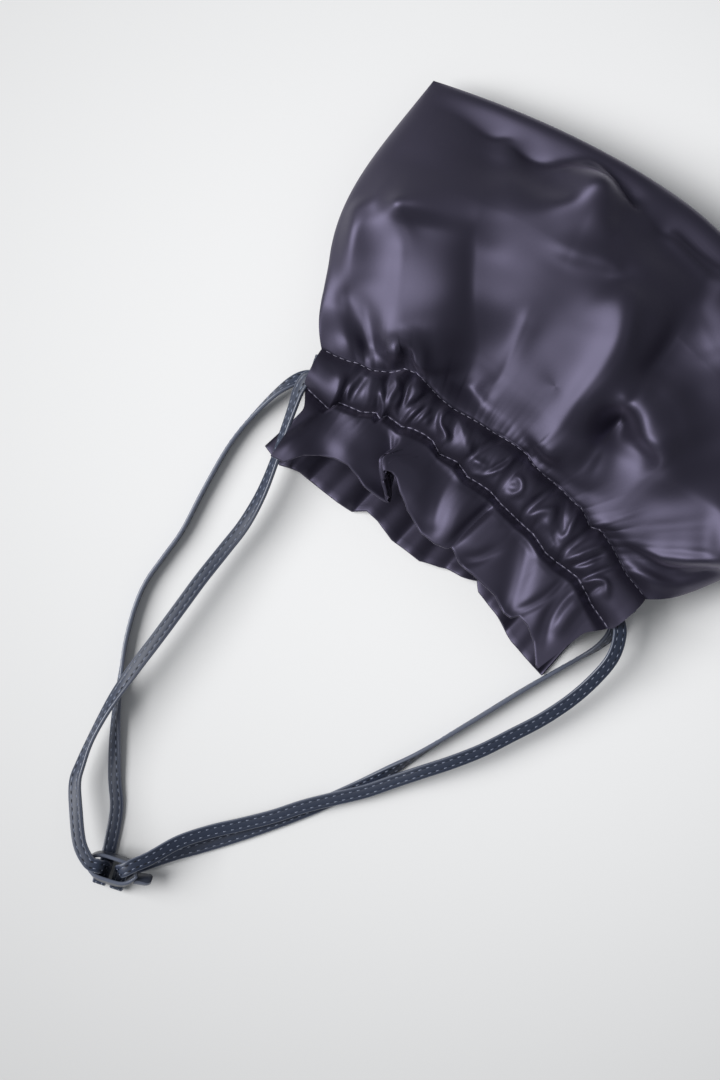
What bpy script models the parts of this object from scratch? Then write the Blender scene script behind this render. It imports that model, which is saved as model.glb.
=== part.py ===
"""Kinchaku drawstring pouch, lying filled on a table with its mouth drawn shut.

Two satin panels are sewn together at their sides and bottom. The top of each panel is folded in and
stitched twice, which makes the casing (the tunnel for the straps) and the frill beyond it. Two closed
loops of flat leather strap run through both casings, one from each side, and pass through a slider.

Metres, +Z up. The mouth points to -Y and the bottom seam to +Y. The origin is on the table, under the
middle of the cloth.
"""
import math

import bmesh
import bpy
import numpy as np

# Outline of the filled pouch, seen from above
POUCH_WIDTH = 0.246
BODY_LENGTH = 0.1246
FRILL_LENGTH = 0.042
NECK_WIDTH = 0.162
CASING_WIDTH = 0.155
FRONT_HEM_WIDTH = 0.146
BACK_HEM_WIDTH = 0.158
HEM_SHIFT = 0.003
BOTTOM_BOW = 0.0246
UPPER_ROW_BOW = 0.018
LOWER_ROW_BOW = 0.016
HEM_BOW = 0.0068
BOW_POWER = 1.7
SIDE_POWER = 4.0

# Heights above the table
PUFF_HEIGHT = 0.046
THROAT_FLOOR = 0.0112
THROAT_GAP = 0.0055
SIDE_SEAM_HEIGHT = 0.020
CORNER_HEIGHT = 0.014
BOTTOM_SEAM_HEIGHT = 0.024
CROWN_PLACE = 0.62
RISE_POWER = 1.5
LEFT_FULLNESS = 3.0
RIGHT_FULLNESS = 5.5

# Cloth
CLOTH = 0.0012
SEAM_GAP = 0.0003
GATHER_COUNT = 16
GATHER_DEPTH = 0.0021
FRILL_LIFT = 0.005
RUFFLE_LIFT_BACK = 0.003

# Flat leather strap, and what it needs round it
STRAP_WIDTH = 0.006
STRAP_THICKNESS = 0.0018
STRAP_CLEARANCE = 0.00035
STITCH_EASE = 0.010
TABLE_GAP = 0.0001

# Slider: a pointed ring of leather, standing on edge
SLIDER_LENGTH = 0.0242
SLIDER_HEIGHT = 0.008
SLIDER_WALL = 0.0016
SLIDER_EASE = 0.001
SLIDER_TAIL = 0.0045
SLIDER_CENTRE = (-0.0187, -0.2803)
SLIDER_TURN = math.radians(20.7)

# How finely each form is divided
FRONT_COLUMNS = 56
BACK_COLUMNS = 36
FRILL_ROWS = (0.0, 0.2, 0.4, 0.6, 0.8, 1.0)
CASING_ROWS = (1.22, 1.5, 1.78, 2.0)
FRONT_BODY_ROWS = (2.04, 2.11, 2.2, 2.3, 2.4, 2.5, 2.6, 2.7, 2.8, 2.89, 2.96, 3.0)
BACK_BODY_ROWS = (2.05, 2.12, 2.22, 2.35, 2.5, 2.65, 2.8, 2.9, 2.97, 3.0)
SLIDER_SIDES = 36
STRAP_STEPS = 2
BELLS = 5
BELL_REACH = 4.0
CREST_ROUNDING = 1.5

# Worked out from the sizes above
CASING_LENGTH = 2 * STRAP_WIDTH + STITCH_EASE
TUNNEL_HEIGHT = 2 * STRAP_THICKNESS + 7 * STRAP_CLEARANCE
LANE = STRAP_WIDTH / 2 + 0.001
CLOTH_LENGTH = HEM_BOW + FRILL_LENGTH + CASING_LENGTH + BODY_LENGTH
BOTTOM_Y = CLOTH_LENGTH / 2
UPPER_ROW_Y = BOTTOM_Y - BODY_LENGTH
LOWER_ROW_Y = UPPER_ROW_Y - CASING_LENGTH
THROAT_CEILING = THROAT_FLOOR + THROAT_GAP
NECK_SEAM_HEIGHT = THROAT_FLOOR + THROAT_GAP / 2
FOLD_UNIT = POUCH_WIDTH / 246

# Folds of the front panel. Each is a line of points (x, y, height, left width, right width) in units of
# FOLD_UNIT, a 246th of the pouch's width; a hollow has a height below 0
FRONT_FOLDS = (
    ((-105.2, 21.9, 1.5, 7, 12), (-89.9, 7, 2.5, 8, 14), (-75.6, -7.8, 3, 8, 14), (-67, -21.8, 3, 6, 9),
     (-61.1, -33.8, 1.5, 4, 6)),
    ((-68.7, 35.6, -1.5, 9, 10), (-61.7, 25.4, -5, 18, 10), (-51.8, 10.3, -6.5, 22, 10),
     (-42.7, -8.4, -6.5, 18, 9), (-38.5, -24.4, -5.5, 8, 7), (-37.7, -34.7, -4, 5, 5)),
    ((-73.1, 23.5, 1.5, 8, 12), (-65.4, 43.3, 3, 8, 16), (-55.9, 64.5, 4.5, 7, 20),
     (-47.4, 80.2, 5, 6, 18), (-37.5, 79.9, 4.5, 7, 16), (-26.4, 68.9, 3, 8, 14),
     (-15.9, 55.6, 1.5, 8, 12)),
    ((-26.5, 21.6, 0.5, 4, 3), (-25.5, 4.5, 1.4, 6, 3), (-23.6, -10.4, 1.4, 5, 3),
     (-20.6, -23.2, 1, 5, 3)),
    ((-14.7, 52.6, 0.5, 7, 12), (-4.3, 46.2, 4, 6, 14), (6, 39, 8, 5, 16), (15.4, 24.5, 8.5, 5, 18),
     (18.9, 6.4, 8, 5, 16), (18.3, -11.8, 6, 5, 12), (16.7, -24.6, 4, 4, 8)),
    ((33, 99.1, -4, 14, 12), (25.2, 78.3, -6, 14, 12), (22.7, 62.8, -7.5, 14, 9),
     (25, 46.7, -8.5, 12, 7), (28.7, 28.9, -8.5, 8, 6), (33, 9.9, -8, 7, 6), (34.5, -6.8, -6.5, 7, 6),
     (30, -20.3, -4.5, 6, 5)),
    ((26.9, 12.8, 1, 6, 5), (32.5, 22.5, 4.5, 10, 7), (43, 20.1, 7, 14, 9), (53.4, 9.3, 6.5, 14, 9),
     (58.2, -5.7, 4, 10, 8), (54.2, -21.9, 1.5, 5, 5)),
    ((77, 0.7, 5, 14, 24), (92.4, 5.1, 9, 14, 34), (108.7, 9.7, 11, 12, 40)),
    ((49, -35.7, -1.5, 3, 3), (59.9, -25.7, -2.5, 3, 2.5), (72.1, -15.1, -2.5, 3, 2.5),
     (85.9, -1.7, -1.5, 3, 3)),
    ((69.8, -38.8, -2.5, 3, 3), (83.2, -33.5, -3.5, 4, 3), (96.8, -26.2, -3, 4, 3),
     (107, -17.7, -2, 4, 3)),
    ((-57.4, -38.3, 2, 2.5, 2.5), (-62.6, -30.8, 3.5, 2.5, 2.5), (-62.8, -24, 4, 3, 2.5),
     (-55.7, -24.7, 3.5, 3, 2.5), (-48.1, -30.7, 2, 2.5, 2.5)),
    ((-58.4, -27.8, -2, 2.5, 2.5), (-53.7, -33.2, -2, 2.5, 2.5)),
    ((-90, -24.5, -1.5, 3.5, 3.5), (-79, -32.2, -3.5, 4, 4), (-68.5, -38.4, -3, 3.5, 3.5)),
    ((-32.6, -32.8, -3, 3.5, 3.5), (-26.2, -18.4, -1.5, 4, 4)),
    ((6.8, 87.9, 2, 4, 4), (23.4, 81.3, 2, 4, 4)),
    ((-76.3, 71.6, -1.5, 9, 10), (-45.5, 87, -2.5, 7, 8), (-21.5, 82.1, -1.5, 9, 10)),
)


# Folds of the front frill, in the same form
FRILL_FOLDS = (
    ((-48, -54, -2, 4, 4), (-35, -79, -5, 6, 6)),
    ((-62, -62, 2, 6, 6), (-58, -82, 4, 7, 7)),
    ((-32, -72, 2, 4, 4), (-31, -84, 6, 4, 4)),
    ((-8, -54, 1.5, 9, 9), (-12, -82, 2.5, 10, 10)),
    ((9.5, -50, -2.5, 2.5, 2.5), (9.4, -82, -3.5, 3, 3)),
    ((22, -54, 2, 8, 8), (24, -84, 3.5, 8, 8)),
    ((36, -58, -3, 4, 4), (47, -88, -5, 5, 5)),
    ((52, -60, 2, 5, 5), (58, -88, 5, 5, 5)),
)

# Hem lines of the two panels: place across, from -1 to 1, and how far the frill reaches there, where 1 is
# its full length. The front one is drawn back in its left half, so the back one shows beyond it
FRONT_HEM = ((-1, 0.986), (-0.93, 0.908), (-0.863, 0.781), (-0.712, 0.652), (-0.479, 0.652), (-0.151, 0.648),
             (0.041, 0.686), (0.151, 0.637), (0.233, 0.699), (0.315, 0.76), (0.411, 0.709), (0.534, 0.76),
             (0.699, 0.781), (0.836, 0.77), (0.918, 0.822), (1, 0.975))
BACK_HEM = ((-1, 0.945), (-0.949, 1), (-0.759, 0.932), (-0.633, 0.928), (-0.405, 0.924), (-0.342, 0.832),
            (-0.127, 0.887), (0.058, 0.891), (0.301, 0.77), (0.443, 0.791), (0.646, 0.863), (0.759, 0.916),
            (0.924, 0.98), (1, 1))


def smooth(t):
    """Eases from 0 to 1 with a level start and end."""
    t = np.clip(t, 0.0, 1.0)
    return t * t * (3 - 2 * t)


def plan(u, v, hem_width, hem_line):
    """Place on the table plan. u runs from -1 to 1 across, v is 0 at the hem, 1 and 2 at the two rows
    of stitches and 3 at the bottom seam. Each row bows towards the mouth at its ends, the body widens
    below the neck as a quartic curve, and the frill runs straight from the stitches to its hem line."""
    rows = (1.0, 2.0, 3.0)
    middle_y = np.interp(v, rows, (LOWER_ROW_Y, UPPER_ROW_Y, BOTTOM_Y))
    bow = np.interp(v, rows, (LOWER_ROW_BOW, UPPER_ROW_BOW, BOTTOM_BOW))
    half = np.interp(v, rows[:2], (CASING_WIDTH / 2, NECK_WIDTH / 2))
    body = np.clip(v - 2, 0.0, 1.0)
    half = half + (POUCH_WIDTH - NECK_WIDTH) / 2 * (1 - (1 - body) ** SIDE_POWER)
    frill = np.clip(1 - v, 0.0, 1.0)
    across, reach = np.array(hem_line).T
    hem_x = u * hem_width / 2 - HEM_SHIFT
    hem_y = LOWER_ROW_Y - (FRILL_LENGTH + HEM_BOW) * np.interp(u, across, reach)
    row_y = middle_y - bow * np.abs(u) ** BOW_POWER
    return u * half * (1 - frill) + hem_x * frill, row_y * (1 - frill) + hem_y * frill


def seam_height(u, body):
    """Height of the seam line, carried inwards as the level that both panels swell from."""
    side = NECK_SEAM_HEIGHT + (SIDE_SEAM_HEIGHT - NECK_SEAM_HEIGHT) * smooth(body / 0.4)
    side = side - (SIDE_SEAM_HEIGHT - CORNER_HEIGHT) * smooth((body - 0.4) / 0.6)
    return side + (BOTTOM_SEAM_HEIGHT - CORNER_HEIGHT) * (1 - u * u) * smooth(body)


def side_fall(u, body):
    """1 on the middle line and 0 at the side seams. At the neck the cloth is level right across."""
    power = np.where(u > 0, RIGHT_FULLNESS, LEFT_FULLNESS)
    fall = np.clip(1 - np.abs(u) ** power, 0.0, 1.0) ** 0.6
    level = 1 - smooth(body / 0.12)
    return level + (1 - level) * fall


def seam_turn(u, body):
    """How far the cloth steps away from the seam line, where its allowance turns inwards."""
    return 1.5 * CLOTH * smooth((1 - np.abs(u)) / 0.05) * smooth((1 - body) / 0.05) * smooth(body / 0.1)


def gathers(u):
    """Pleats pinched by the stitches, from 0 to 1, unevenly spaced."""
    phase = math.pi * GATHER_COUNT * (u + 1) + 0.9 * np.sin(4.3 * u + 1) + 0.5 * np.sin(9.7 * u)
    return 0.5 + 0.5 * np.sin(phase) * (0.7 + 0.3 * np.sin(6.1 * u + 0.5))


def ruffles(u):
    """Wide waves of the free hem, from 0 to 1."""
    return 0.5 + 0.3 * np.sin(12.0 * u + 0.6) + 0.2 * np.sin(21.0 * u + 2.0)


def tunnel_lift(v):
    """Height of the tunnel between its two layers: none at the stitches, full in the middle."""
    across = np.clip(np.abs(v - 1.5) * 2, 0.0, 1.0)
    return TUNNEL_HEIGHT * (1 - across ** 3)


def folds(x, y, lines):
    """Height added by folds. Each is a ridge, or a hollow where its height is minus, along a smooth line
    through its points: a row of overlapping bells, each with one width on the line's left side and
    another on its right. Together they are as high as the line says."""
    total = np.zeros_like(x)
    for line in lines:
        knots = np.array(line, dtype=float)
        padded = np.concatenate((2 * knots[:1] - knots[1:2], knots, 2 * knots[-1:] - knots[-2:-1]))
        t = np.linspace(0, 1, BELLS, endpoint=False)[:, None]
        bells = []
        for before, start, end, after in zip(padded, padded[1:], padded[2:], padded[3:]):
            bells.append(0.5 * (2 * start + (end - before) * t + (2 * before - 5 * start + 4 * end - after) * t ** 2
                                + (3 * start - before - 3 * end + after) * t ** 3))
        bells = np.concatenate(bells + [knots[-1:]])
        ahead = np.gradient(bells[:, :2], axis=0)
        step = np.hypot(ahead[:, 0], ahead[:, 1])
        ahead = ahead / step[:, None]
        reach = np.maximum(BELL_REACH, 0.35 * bells[:, 3:].max(axis=1))
        for (bx, by, height, left, right), (ax, ay), apart, long in zip(bells, ahead, step, reach):
            from_x, from_y = x / FOLD_UNIT - bx, y / FOLD_UNIT - by
            along = from_x * ax + from_y * ay
            aside = ax * from_y - ay * from_x
            width = np.where(aside > 0, max(left, 1.0), max(right, 1.0))
            flank = (np.sqrt(aside ** 2 + CREST_ROUNDING ** 2) - CREST_ROUNDING) / (0.7 * width)
            bell = np.exp(-(along / long) ** 2) / np.cosh(flank)
            total = total + height * FOLD_UNIT * apart / (long * math.sqrt(math.pi)) * bell
    return total


def normals(x, y, z):
    """Unit normals of a grid of points, pointing up, from the differences along both directions."""
    points = np.stack((x, y, z), axis=-1)
    across = np.gradient(points, axis=1)
    along = np.gradient(points, axis=0)
    normal = np.cross(across, along)
    return normal / np.linalg.norm(normal, axis=-1, keepdims=True)


def outline_normals(u, v, x, y):
    """Level unit vectors that point out of the pouch's outline at its sides and bottom."""
    side_x, side_y = np.gradient(y, axis=0) * np.sign(u), -np.gradient(x, axis=0) * np.sign(u)
    foot_x, foot_y = -np.gradient(y, axis=1), np.gradient(x, axis=1)
    side_length = np.maximum(np.hypot(side_x, side_y), 1e-9)
    foot_length = np.maximum(np.hypot(foot_x, foot_y), 1e-9)
    at_side = np.abs(u) > 0.9999
    at_foot = v > 2.9999
    out_x = np.where(at_side, side_x / side_length, 0.0) + np.where(at_foot, foot_x / foot_length, 0.0)
    out_y = np.where(at_side, side_y / side_length, 0.0) + np.where(at_foot, foot_y / foot_length, 0.0)
    length = np.maximum(np.hypot(out_x, out_y), 1e-9)
    return np.stack((out_x / length, out_y / length, 0 * x), axis=-1)


def front_skins(u, v):
    """Outer and inner skin of the front panel. The body swells to its crown and falls to the seam as
    an ellipse does; gathers and folds stand on it along its normal."""
    x, y = plan(u, v, FRONT_HEM_WIDTH, FRONT_HEM)
    body = np.clip(v - 2, 0.0, 1.0)
    frill = np.clip(1 - v, 0.0, 1.0)
    stitched = THROAT_CEILING + 2 * CLOTH
    level = seam_height(u, body)
    middle_level = seam_height(0 * u, body)
    short = np.clip(1 - body / CROWN_PLACE, 0.0, 1.0)
    rise = stitched + (PUFF_HEIGHT - stitched) * (1 - short ** RISE_POWER)
    past = np.clip((body - CROWN_PLACE) / (1 - CROWN_PLACE), 0.0, 1.0)
    fall = middle_level + (PUFF_HEIGHT - middle_level) * np.clip(1 - past ** 2.3, 0.0, 1.0) ** 0.6
    crown = np.where(body < CROWN_PLACE, rise, fall)
    swell = side_fall(u, body)
    z = level * (1 - swell) + (crown + level - middle_level) * swell + seam_turn(u, body)
    z = np.where(v < 2, stitched + 0 * z, z)
    normal = normals(x, y, z)
    return finish_skins(u, v, x, y, z, normal, frill, body, 1)


def back_skins(u, v):
    """Outer (lower) and inner skin of the back panel, which sags on the table and lies flat there."""
    x, y = plan(u, v, BACK_HEM_WIDTH, BACK_HEM)
    body = np.clip(v - 2, 0.0, 1.0)
    frill = np.clip(1 - v, 0.0, 1.0)
    stitched = THROAT_FLOOR - 2 * CLOTH
    level = seam_height(u, body)
    past = np.clip((body - CROWN_PLACE) / (1 - CROWN_PLACE), 0.0, 1.0)
    start = 1 - stitched / NECK_SEAM_HEIGHT
    sag = np.where(body < CROWN_PLACE, start + (1.3 - start) * smooth(body / 0.25), 1.3 * (1 - past ** 4) ** 0.6)
    z = level * (1 - np.clip(sag * side_fall(u, body), 0.0, 1.0)) - seam_turn(u, body)
    z = np.where(v < 2, stitched + 0 * z, z)
    normal = -normals(x, y, z)
    return finish_skins(u, v, x, y, z, normal, frill, body, -1)


def finish_skins(u, v, x, y, z, normal, frill, body, side):
    """Puts gathers, folds and ruffles on a panel and gives it its thickness. side is 1 for the front
    panel, whose outer skin is up, and -1 for the back panel."""
    rim = ((np.abs(u) > 0.9999) & (body > 0.02)) | (v > 2.9999)
    normal = np.where(rim[..., None], outline_normals(u, v, x, y), normal)
    upright = np.stack((0 * x, 0 * x, 0 * x + side), axis=-1)
    normal = np.where((v <= 2)[..., None], upright, normal)
    inwards = smooth((1 - np.abs(u)) / 0.12) * smooth((1 - body) / 0.12)
    height = GATHER_DEPTH * (0.35 + 0.5 * smooth(body / 0.04)) * np.exp(-body / 0.1) * gathers(u)
    if side > 0:
        height = height + folds(x, y, FRONT_FOLDS) * smooth(body / 0.06)
    height = height * np.where(body > 0, inwards, 1.0)
    if side > 0:
        edge = FRILL_LIFT * smooth(frill / 0.15) + folds(x, y, FRILL_FOLDS) * smooth(frill / 0.3)
    else:
        edge = THROAT_FLOOR - 2 * CLOTH - 0.0008
        edge = edge * smooth(frill / 0.6) - RUFFLE_LIFT_BACK * frill * ruffles(-u)
    frill_height = GATHER_DEPTH * 0.35 * (1 - smooth(frill / 0.5)) * gathers(u)
    frill_height = np.where(v < 1, frill_height + edge, 0.0)
    in_casing = (v >= 1) & (v <= 2)
    casing = tunnel_lift(v) + GATHER_DEPTH * (0.35 + 0.65 * np.sin(math.pi * np.clip(v - 1, 0, 1))) * gathers(u)
    total = np.where(in_casing, casing, np.where(v < 1, frill_height, height))
    base = np.stack((x, y, z + np.where(rim, side * SEAM_GAP / 2, 0.0)), axis=-1)
    outer = base + normal * total[..., None]
    if side < 0:
        outer[..., 2] = np.maximum(outer[..., 2], 0.0)
    inner = outer - normal * CLOTH
    inner_level = THROAT_CEILING if side > 0 else THROAT_FLOOR
    inner[..., 2] = np.where(in_casing, inner_level, inner[..., 2])
    return outer, inner


def tunnel_skins(u, v, side):
    """Near and far face of the tunnel, from the row of stitches at v = 1 to the one at v = 2."""
    x, y = plan(u, v, CASING_WIDTH, FRONT_HEM)
    near = (THROAT_CEILING + CLOTH) if side > 0 else (THROAT_FLOOR - CLOTH)
    near_z = np.full_like(x, near)
    far_z = near_z + side * tunnel_lift(v)
    return np.stack((x, y, far_z), axis=-1), np.stack((x, y, near_z), axis=-1)


def panel_mesh(name, columns, body_rows, side):
    """Closed mesh of one panel: an outer and an inner skin, the tunnel between them in the casing,
    and rims along the hem, the bottom and both sides."""
    rows = np.array(FRILL_ROWS + CASING_ROWS + body_rows)
    u, v = np.meshgrid(np.linspace(-1, 1, columns + 1), rows)
    outer, inner = front_skins(u, v) if side > 0 else back_skins(u, v)
    far, near = tunnel_skins(u, v, side)
    first = len(FRILL_ROWS) - 1
    last = first + len(CASING_ROWS)
    points = []
    index = {}

    def number(skin, row, column):
        """Number of a point, added on its first use. At the stitches both tunnel faces are one line."""
        if skin in ("far", "near") and row in (first, last):
            skin = "near"
        key = (skin, row, column)
        if key not in index:
            source = {"outer": outer, "inner": inner, "far": far, "near": near}[skin]
            index[key] = len(points)
            points.append(tuple(source[row, column]))
        return index[key]

    faces = []
    row_count = len(rows)
    for skin, start, stop in (("outer", 0, row_count - 1), ("inner", 0, row_count - 1),
                              ("far", first, last), ("near", first, last)):
        for row in range(start, stop):
            for column in range(columns):
                corners = ((row, column), (row, column + 1), (row + 1, column + 1), (row + 1, column))
                faces.append([number(skin, *corner) for corner in corners])
    for row in (0, row_count - 1):
        for column in range(columns):
            faces.append([number("outer", row, column), number("outer", row, column + 1),
                          number("inner", row, column + 1), number("inner", row, column)])
    for column in (0, columns):
        for row in range(row_count - 1):
            for low, high in ((("outer", "far"), ("near", "inner")) if first <= row < last
                              else (("outer", "inner"),)):
                ring = [number(low, row, column), number(low, row + 1, column)]
                if row + 1 == first:
                    ring.append(number("near", row + 1, column))
                ring += [number(high, row + 1, column), number(high, row, column)]
                if row == last:
                    ring.append(number("near", row, column))
                faces.append(list(dict.fromkeys(ring)))
    return build_mesh(name, points, faces)


def build_mesh(name, points, faces):
    """Makes a mesh whose faces all point outwards."""
    mesh = bpy.data.meshes.new(name)
    mesh.from_pydata(points, [], faces)
    shape = bmesh.new()
    shape.from_mesh(mesh)
    bmesh.ops.recalc_face_normals(shape, faces=shape.faces)
    bmesh.ops.triangulate(shape, faces=[face for face in shape.faces if len(face.verts) > 4])
    if shape.calc_volume(signed=True) < 0:
        bmesh.ops.reverse_faces(shape, faces=shape.faces)
    shape.to_mesh(mesh)
    shape.free()
    mesh.shade_smooth()
    mesh.set_sharp_from_angle(angle=math.radians(50))
    return mesh


def material(name, colour, roughness):
    """A plain finish: colour is linear red, green and blue."""
    finish = bpy.data.materials.new(name)
    finish.use_nodes = True
    shader = finish.node_tree.nodes["Principled BSDF"]
    shader.inputs["Base Color"].default_value = (*colour, 1.0)
    shader.inputs["Roughness"].default_value = roughness
    shader.inputs["Metallic"].default_value = 0.0
    return finish


def place(name, mesh, finish):
    """Adds a named object."""
    mesh.materials.append(finish)
    piece = bpy.data.objects.new(name, mesh)
    bpy.context.collection.objects.link(piece)
    return piece


def in_tunnel(u, lane, lift, side):
    """A point on a strap in a tunnel: lane is its distance from the tunnel's middle line, towards the
    body, and lift its distance from the tunnel's near face."""
    length = CASING_LENGTH - (UPPER_ROW_BOW - LOWER_ROW_BOW) * abs(u) ** BOW_POWER
    x, y = plan(np.array(float(u)), np.array(1.5 + lane / length), CASING_WIDTH, FRONT_HEM)
    near = (THROAT_CEILING + CLOTH) if side > 0 else (THROAT_FLOOR - CLOTH)
    return np.array((float(x), float(y), near + side * lift))


def tunnel_pass(hand, side):
    """Points of a strap along one tunnel, from its own end (hand -1 is left) to the far end. The two
    straps swap lanes in the middle, where the left one passes over the right one."""
    points = []
    for u in np.linspace(-1, 1, 15):
        lane = LANE * math.sin(math.pi / 2 * min(max(u / 0.5, -1), 1))
        crossing = float(smooth((0.47 - abs(u)) / 0.2))
        low = STRAP_CLEARANCE + STRAP_THICKNESS / 2
        lift = low + 0.0003
        high = low + STRAP_THICKNESS + 1.6 * STRAP_CLEARANCE
        lift = lift + crossing * ((high if hand < 0 else low) - lift)
        points.append((in_tunnel(-hand * u, lane, lift, side), None, 0.0 if side > 0 else 180.0))
    return points if side > 0 else points[::-1]


def turn_round(hand):
    """Half circle of a strap round the far end of the casing, from the front tunnel to the back one."""
    lift = STRAP_CLEARANCE + STRAP_THICKNESS / 2 + 0.0003
    top = in_tunnel(-hand, LANE, lift, 1)
    bottom = in_tunnel(-hand, LANE, lift, -1)
    before = in_tunnel(-hand * 0.98, LANE, lift, 1)
    out = (top - before) / np.linalg.norm(top - before)
    width = np.array((-out[1], out[0], 0.0)) * hand
    radius = (top[2] - bottom[2]) / 2
    centre = (top + bottom) / 2 + out * 0.002
    points = []
    for angle in np.radians((90, 50, 15, -15, -50, -90)):
        point = centre + out * radius * math.cos(angle)
        point[2] = centre[2] + radius * math.sin(angle)
        points.append((point, width, None))
    return points


# Free strands, from the casing to the slider: x, y and height of the middle of the strap in millimetres,
# and its roll in degrees (0 or 180 lies flat, 90 stands on edge)
LEFT_LOWER_STRAND = (
    (-84.6, -59.4, 7.8, 172), (-89.2, -64.6, 6.8, 145), (-92.6, -75.0, 5.4, 110), (-94.4, -90.0, None, 96),
    (-94.2, -106.0, None, 92), (-90.9, -127.0, None, 90), (-87.0, -147.0, None, 90), (-86.2, -161.0, None, 90),
    (-85.4, -174.3, None, 91), (-82.3, -186.1, None, 92), (-76.5, -199.5, None, 93), (-70.7, -209.8, None, 98),
    (-64.8, -219.6, None, 110), (-58.4, -229.5, None, 128), (-50.6, -240.2, None, 150),
    (-42.0, -251.0, None, 168), (-32.5, -261.9, None, 178),
)
LEFT_UPPER_STRAND = (
    (-36.4, -279.4, 15.4, 4), (-46.8, -269.4, 13.6, 12), (-54.4, -260.8, 12.2, 30), (-57.6, -253.0, 11.6, 48),
    (-60.6, -243.0, 11.4, 64), (-63.0, -231.0, 11.6, 58), (-64.4, -219.7, 12.0, 40), (-65.2, -206.0, 12.6, 22),
    (-65.6, -190.0, 12.9, 14), (-66.2, -174.0, 12.7, 10), (-66.9, -158.0, 12.0, 10), (-67.0, -142.0, 11.0, 14),
    (-67.2, -128.0, 10.8, 26), (-69.6, -113.0, 11.4, 45), (-74.0, -98.0, 12.8, 58), (-78.4, -86.0, 14.4, 60),
    (-81.8, -76.0, 16.2, 54), (-84.6, -67.6, 18.0, 38), (-84.6, -61.0, 19.2, 14),
)
RIGHT_LOWER_STRAND = (
    (84.6, -59.4, 7.8, 172), (87.6, -64.8, 6.8, 142), (86.6, -73.5, 5.4, 112), (83.0, -83.5, None, 97),
    (78.6, -94.5, None, 94), (72.8, -109.5, None, 92), (66.2, -128.0, None, 92), (59.6, -146.0, None, 96),
    (54.4, -160.5, None, 112), (50.0, -171.8, None, 140), (45.4, -183.0, None, 165), (39.8, -194.6, None, 178),
    (33.0, -207.6, None, 180), (24.6, -222.0, None, 180), (15.0, -237.2, None, 180), (5.6, -251.0, None, 180),
    (-2.6, -262.4, None, 180),
)
RIGHT_UPPER_STRAND = (
    (-8.6, -266.0, 13.6, 4), (-3.0, -253.6, 8.4, 6), (5.0, -242.0, 5.2, 5), (13.8, -231.2, 3.8, 3),
    (22.2, -220.2, 3.4, 2), (29.9, -208.4, 3.4, 2), (38.2, -197.4, 3.6, 2), (46.8, -186.2, 4.2, 3),
    (54.0, -174.4, 5.6, 4), (60.2, -164.4, 7.4, 6), (67.9, -152.3, 8.6, 8), (74.9, -140.0, 9.0, 8),
    (80.9, -126.8, 9.2, 9), (86.9, -112.9, 9.8, 10), (91.4, -98.0, 11.0, 12), (93.4, -84.0, 13.2, 14),
    (93.0, -73.0, 15.8, 14), (89.4, -64.4, 18.2, 10), (85.0, -60.0, 19.2, 5),
)


def strand(points):
    """A strand's points in metres, each with its roll. A point with no height lies on the table."""
    entries = []
    for x, y, height, roll in points:
        turn = math.radians(roll)
        lying = STRAP_WIDTH / 2 * abs(math.sin(turn)) + STRAP_THICKNESS / 2 * abs(math.cos(turn)) + TABLE_GAP
        z = lying if height is None else height * 0.001
        entries.append((np.array((x * 0.001, y * 0.001, z)), None, float(roll)))
    return entries


def from_slider(e, n, z):
    """A point by the slider: e millimetres along it, n towards its mouthless side, z above the table."""
    along = np.array((math.cos(SLIDER_TURN), math.sin(SLIDER_TURN), 0.0))
    across = np.array((math.sin(SLIDER_TURN), -math.cos(SLIDER_TURN), 0.0))
    centre = np.array((*SLIDER_CENTRE, 0.0))
    return centre + (along * e + across * n) * 0.001 + np.array((0.0, 0.0, z * 0.001))


def slider_way(e, n):
    """A level direction by the slider."""
    way = from_slider(e, n, 0.0) - from_slider(0.0, 0.0, 0.0)
    return way / np.linalg.norm(way)


def through_slider(hand):
    """A loop's bight: under the ring, folded back, up through the ring and out over its wall."""
    e = 3.9 * hand
    flat = slider_way(-hand, 0.0)
    points = [(from_slider(e * 1.0, -1.0 if hand < 0 else 1.6, 1.0), flat, None)] if hand < 0 else [
        (from_slider(10.4, -2.6, 1.0), slider_way(-0.66, -0.75), None),
        (from_slider(7.4, 0.0, 1.0), slider_way(-0.75, -0.66), None),
        (from_slider(5.0, 2.9, 1.0), slider_way(-0.9, -0.43), None)]
    for n, z in ((5.4, 1.0), (7.6, 1.0), (8.75, 1.45), (9.2, 2.56), (8.75, 3.67), (7.6, 4.14), (5.0, 4.14),
                 (3.2, 4.14), (1.6, 4.2), (0.3, 4.9), (-0.4, 6.4), (-0.4, 8.4)):
        points.append((from_slider(e, n, z), flat, None))
    if hand < 0:
        points.append((from_slider(e, -0.2, 10.4), slider_way(0.7, -0.7), None))
        points.append((from_slider(e, 0.0, 12.6), slider_way(0.15, -1.0), None))
        points.append((from_slider(e - 0.5, 0.0, 14.5), slider_way(0.0, -1.0), None))
        points.append((from_slider(e - 2.2, -0.2, 15.9), slider_way(0.0, -1.0), None))
        points.append((from_slider(e - 6.0, -0.8, 16.2), slider_way(-0.1, -1.0), None))
    else:
        points.append((from_slider(e, -0.3, 10.4), slider_way(-0.85, -0.5), None))
        points.append((from_slider(e, -0.4, 12.6), slider_way(-0.68, -0.73), None))
        points.append((from_slider(e + 0.5, -0.9, 14.5), slider_way(-0.66, -0.75), None))
        points.append((from_slider(e + 2.1, -2.3, 15.9), slider_way(-0.68, -0.73), None))
        points.append((from_slider(e + 4.8, -5.0, 15.9), slider_way(-0.72, -0.69), None))
    return points


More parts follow.
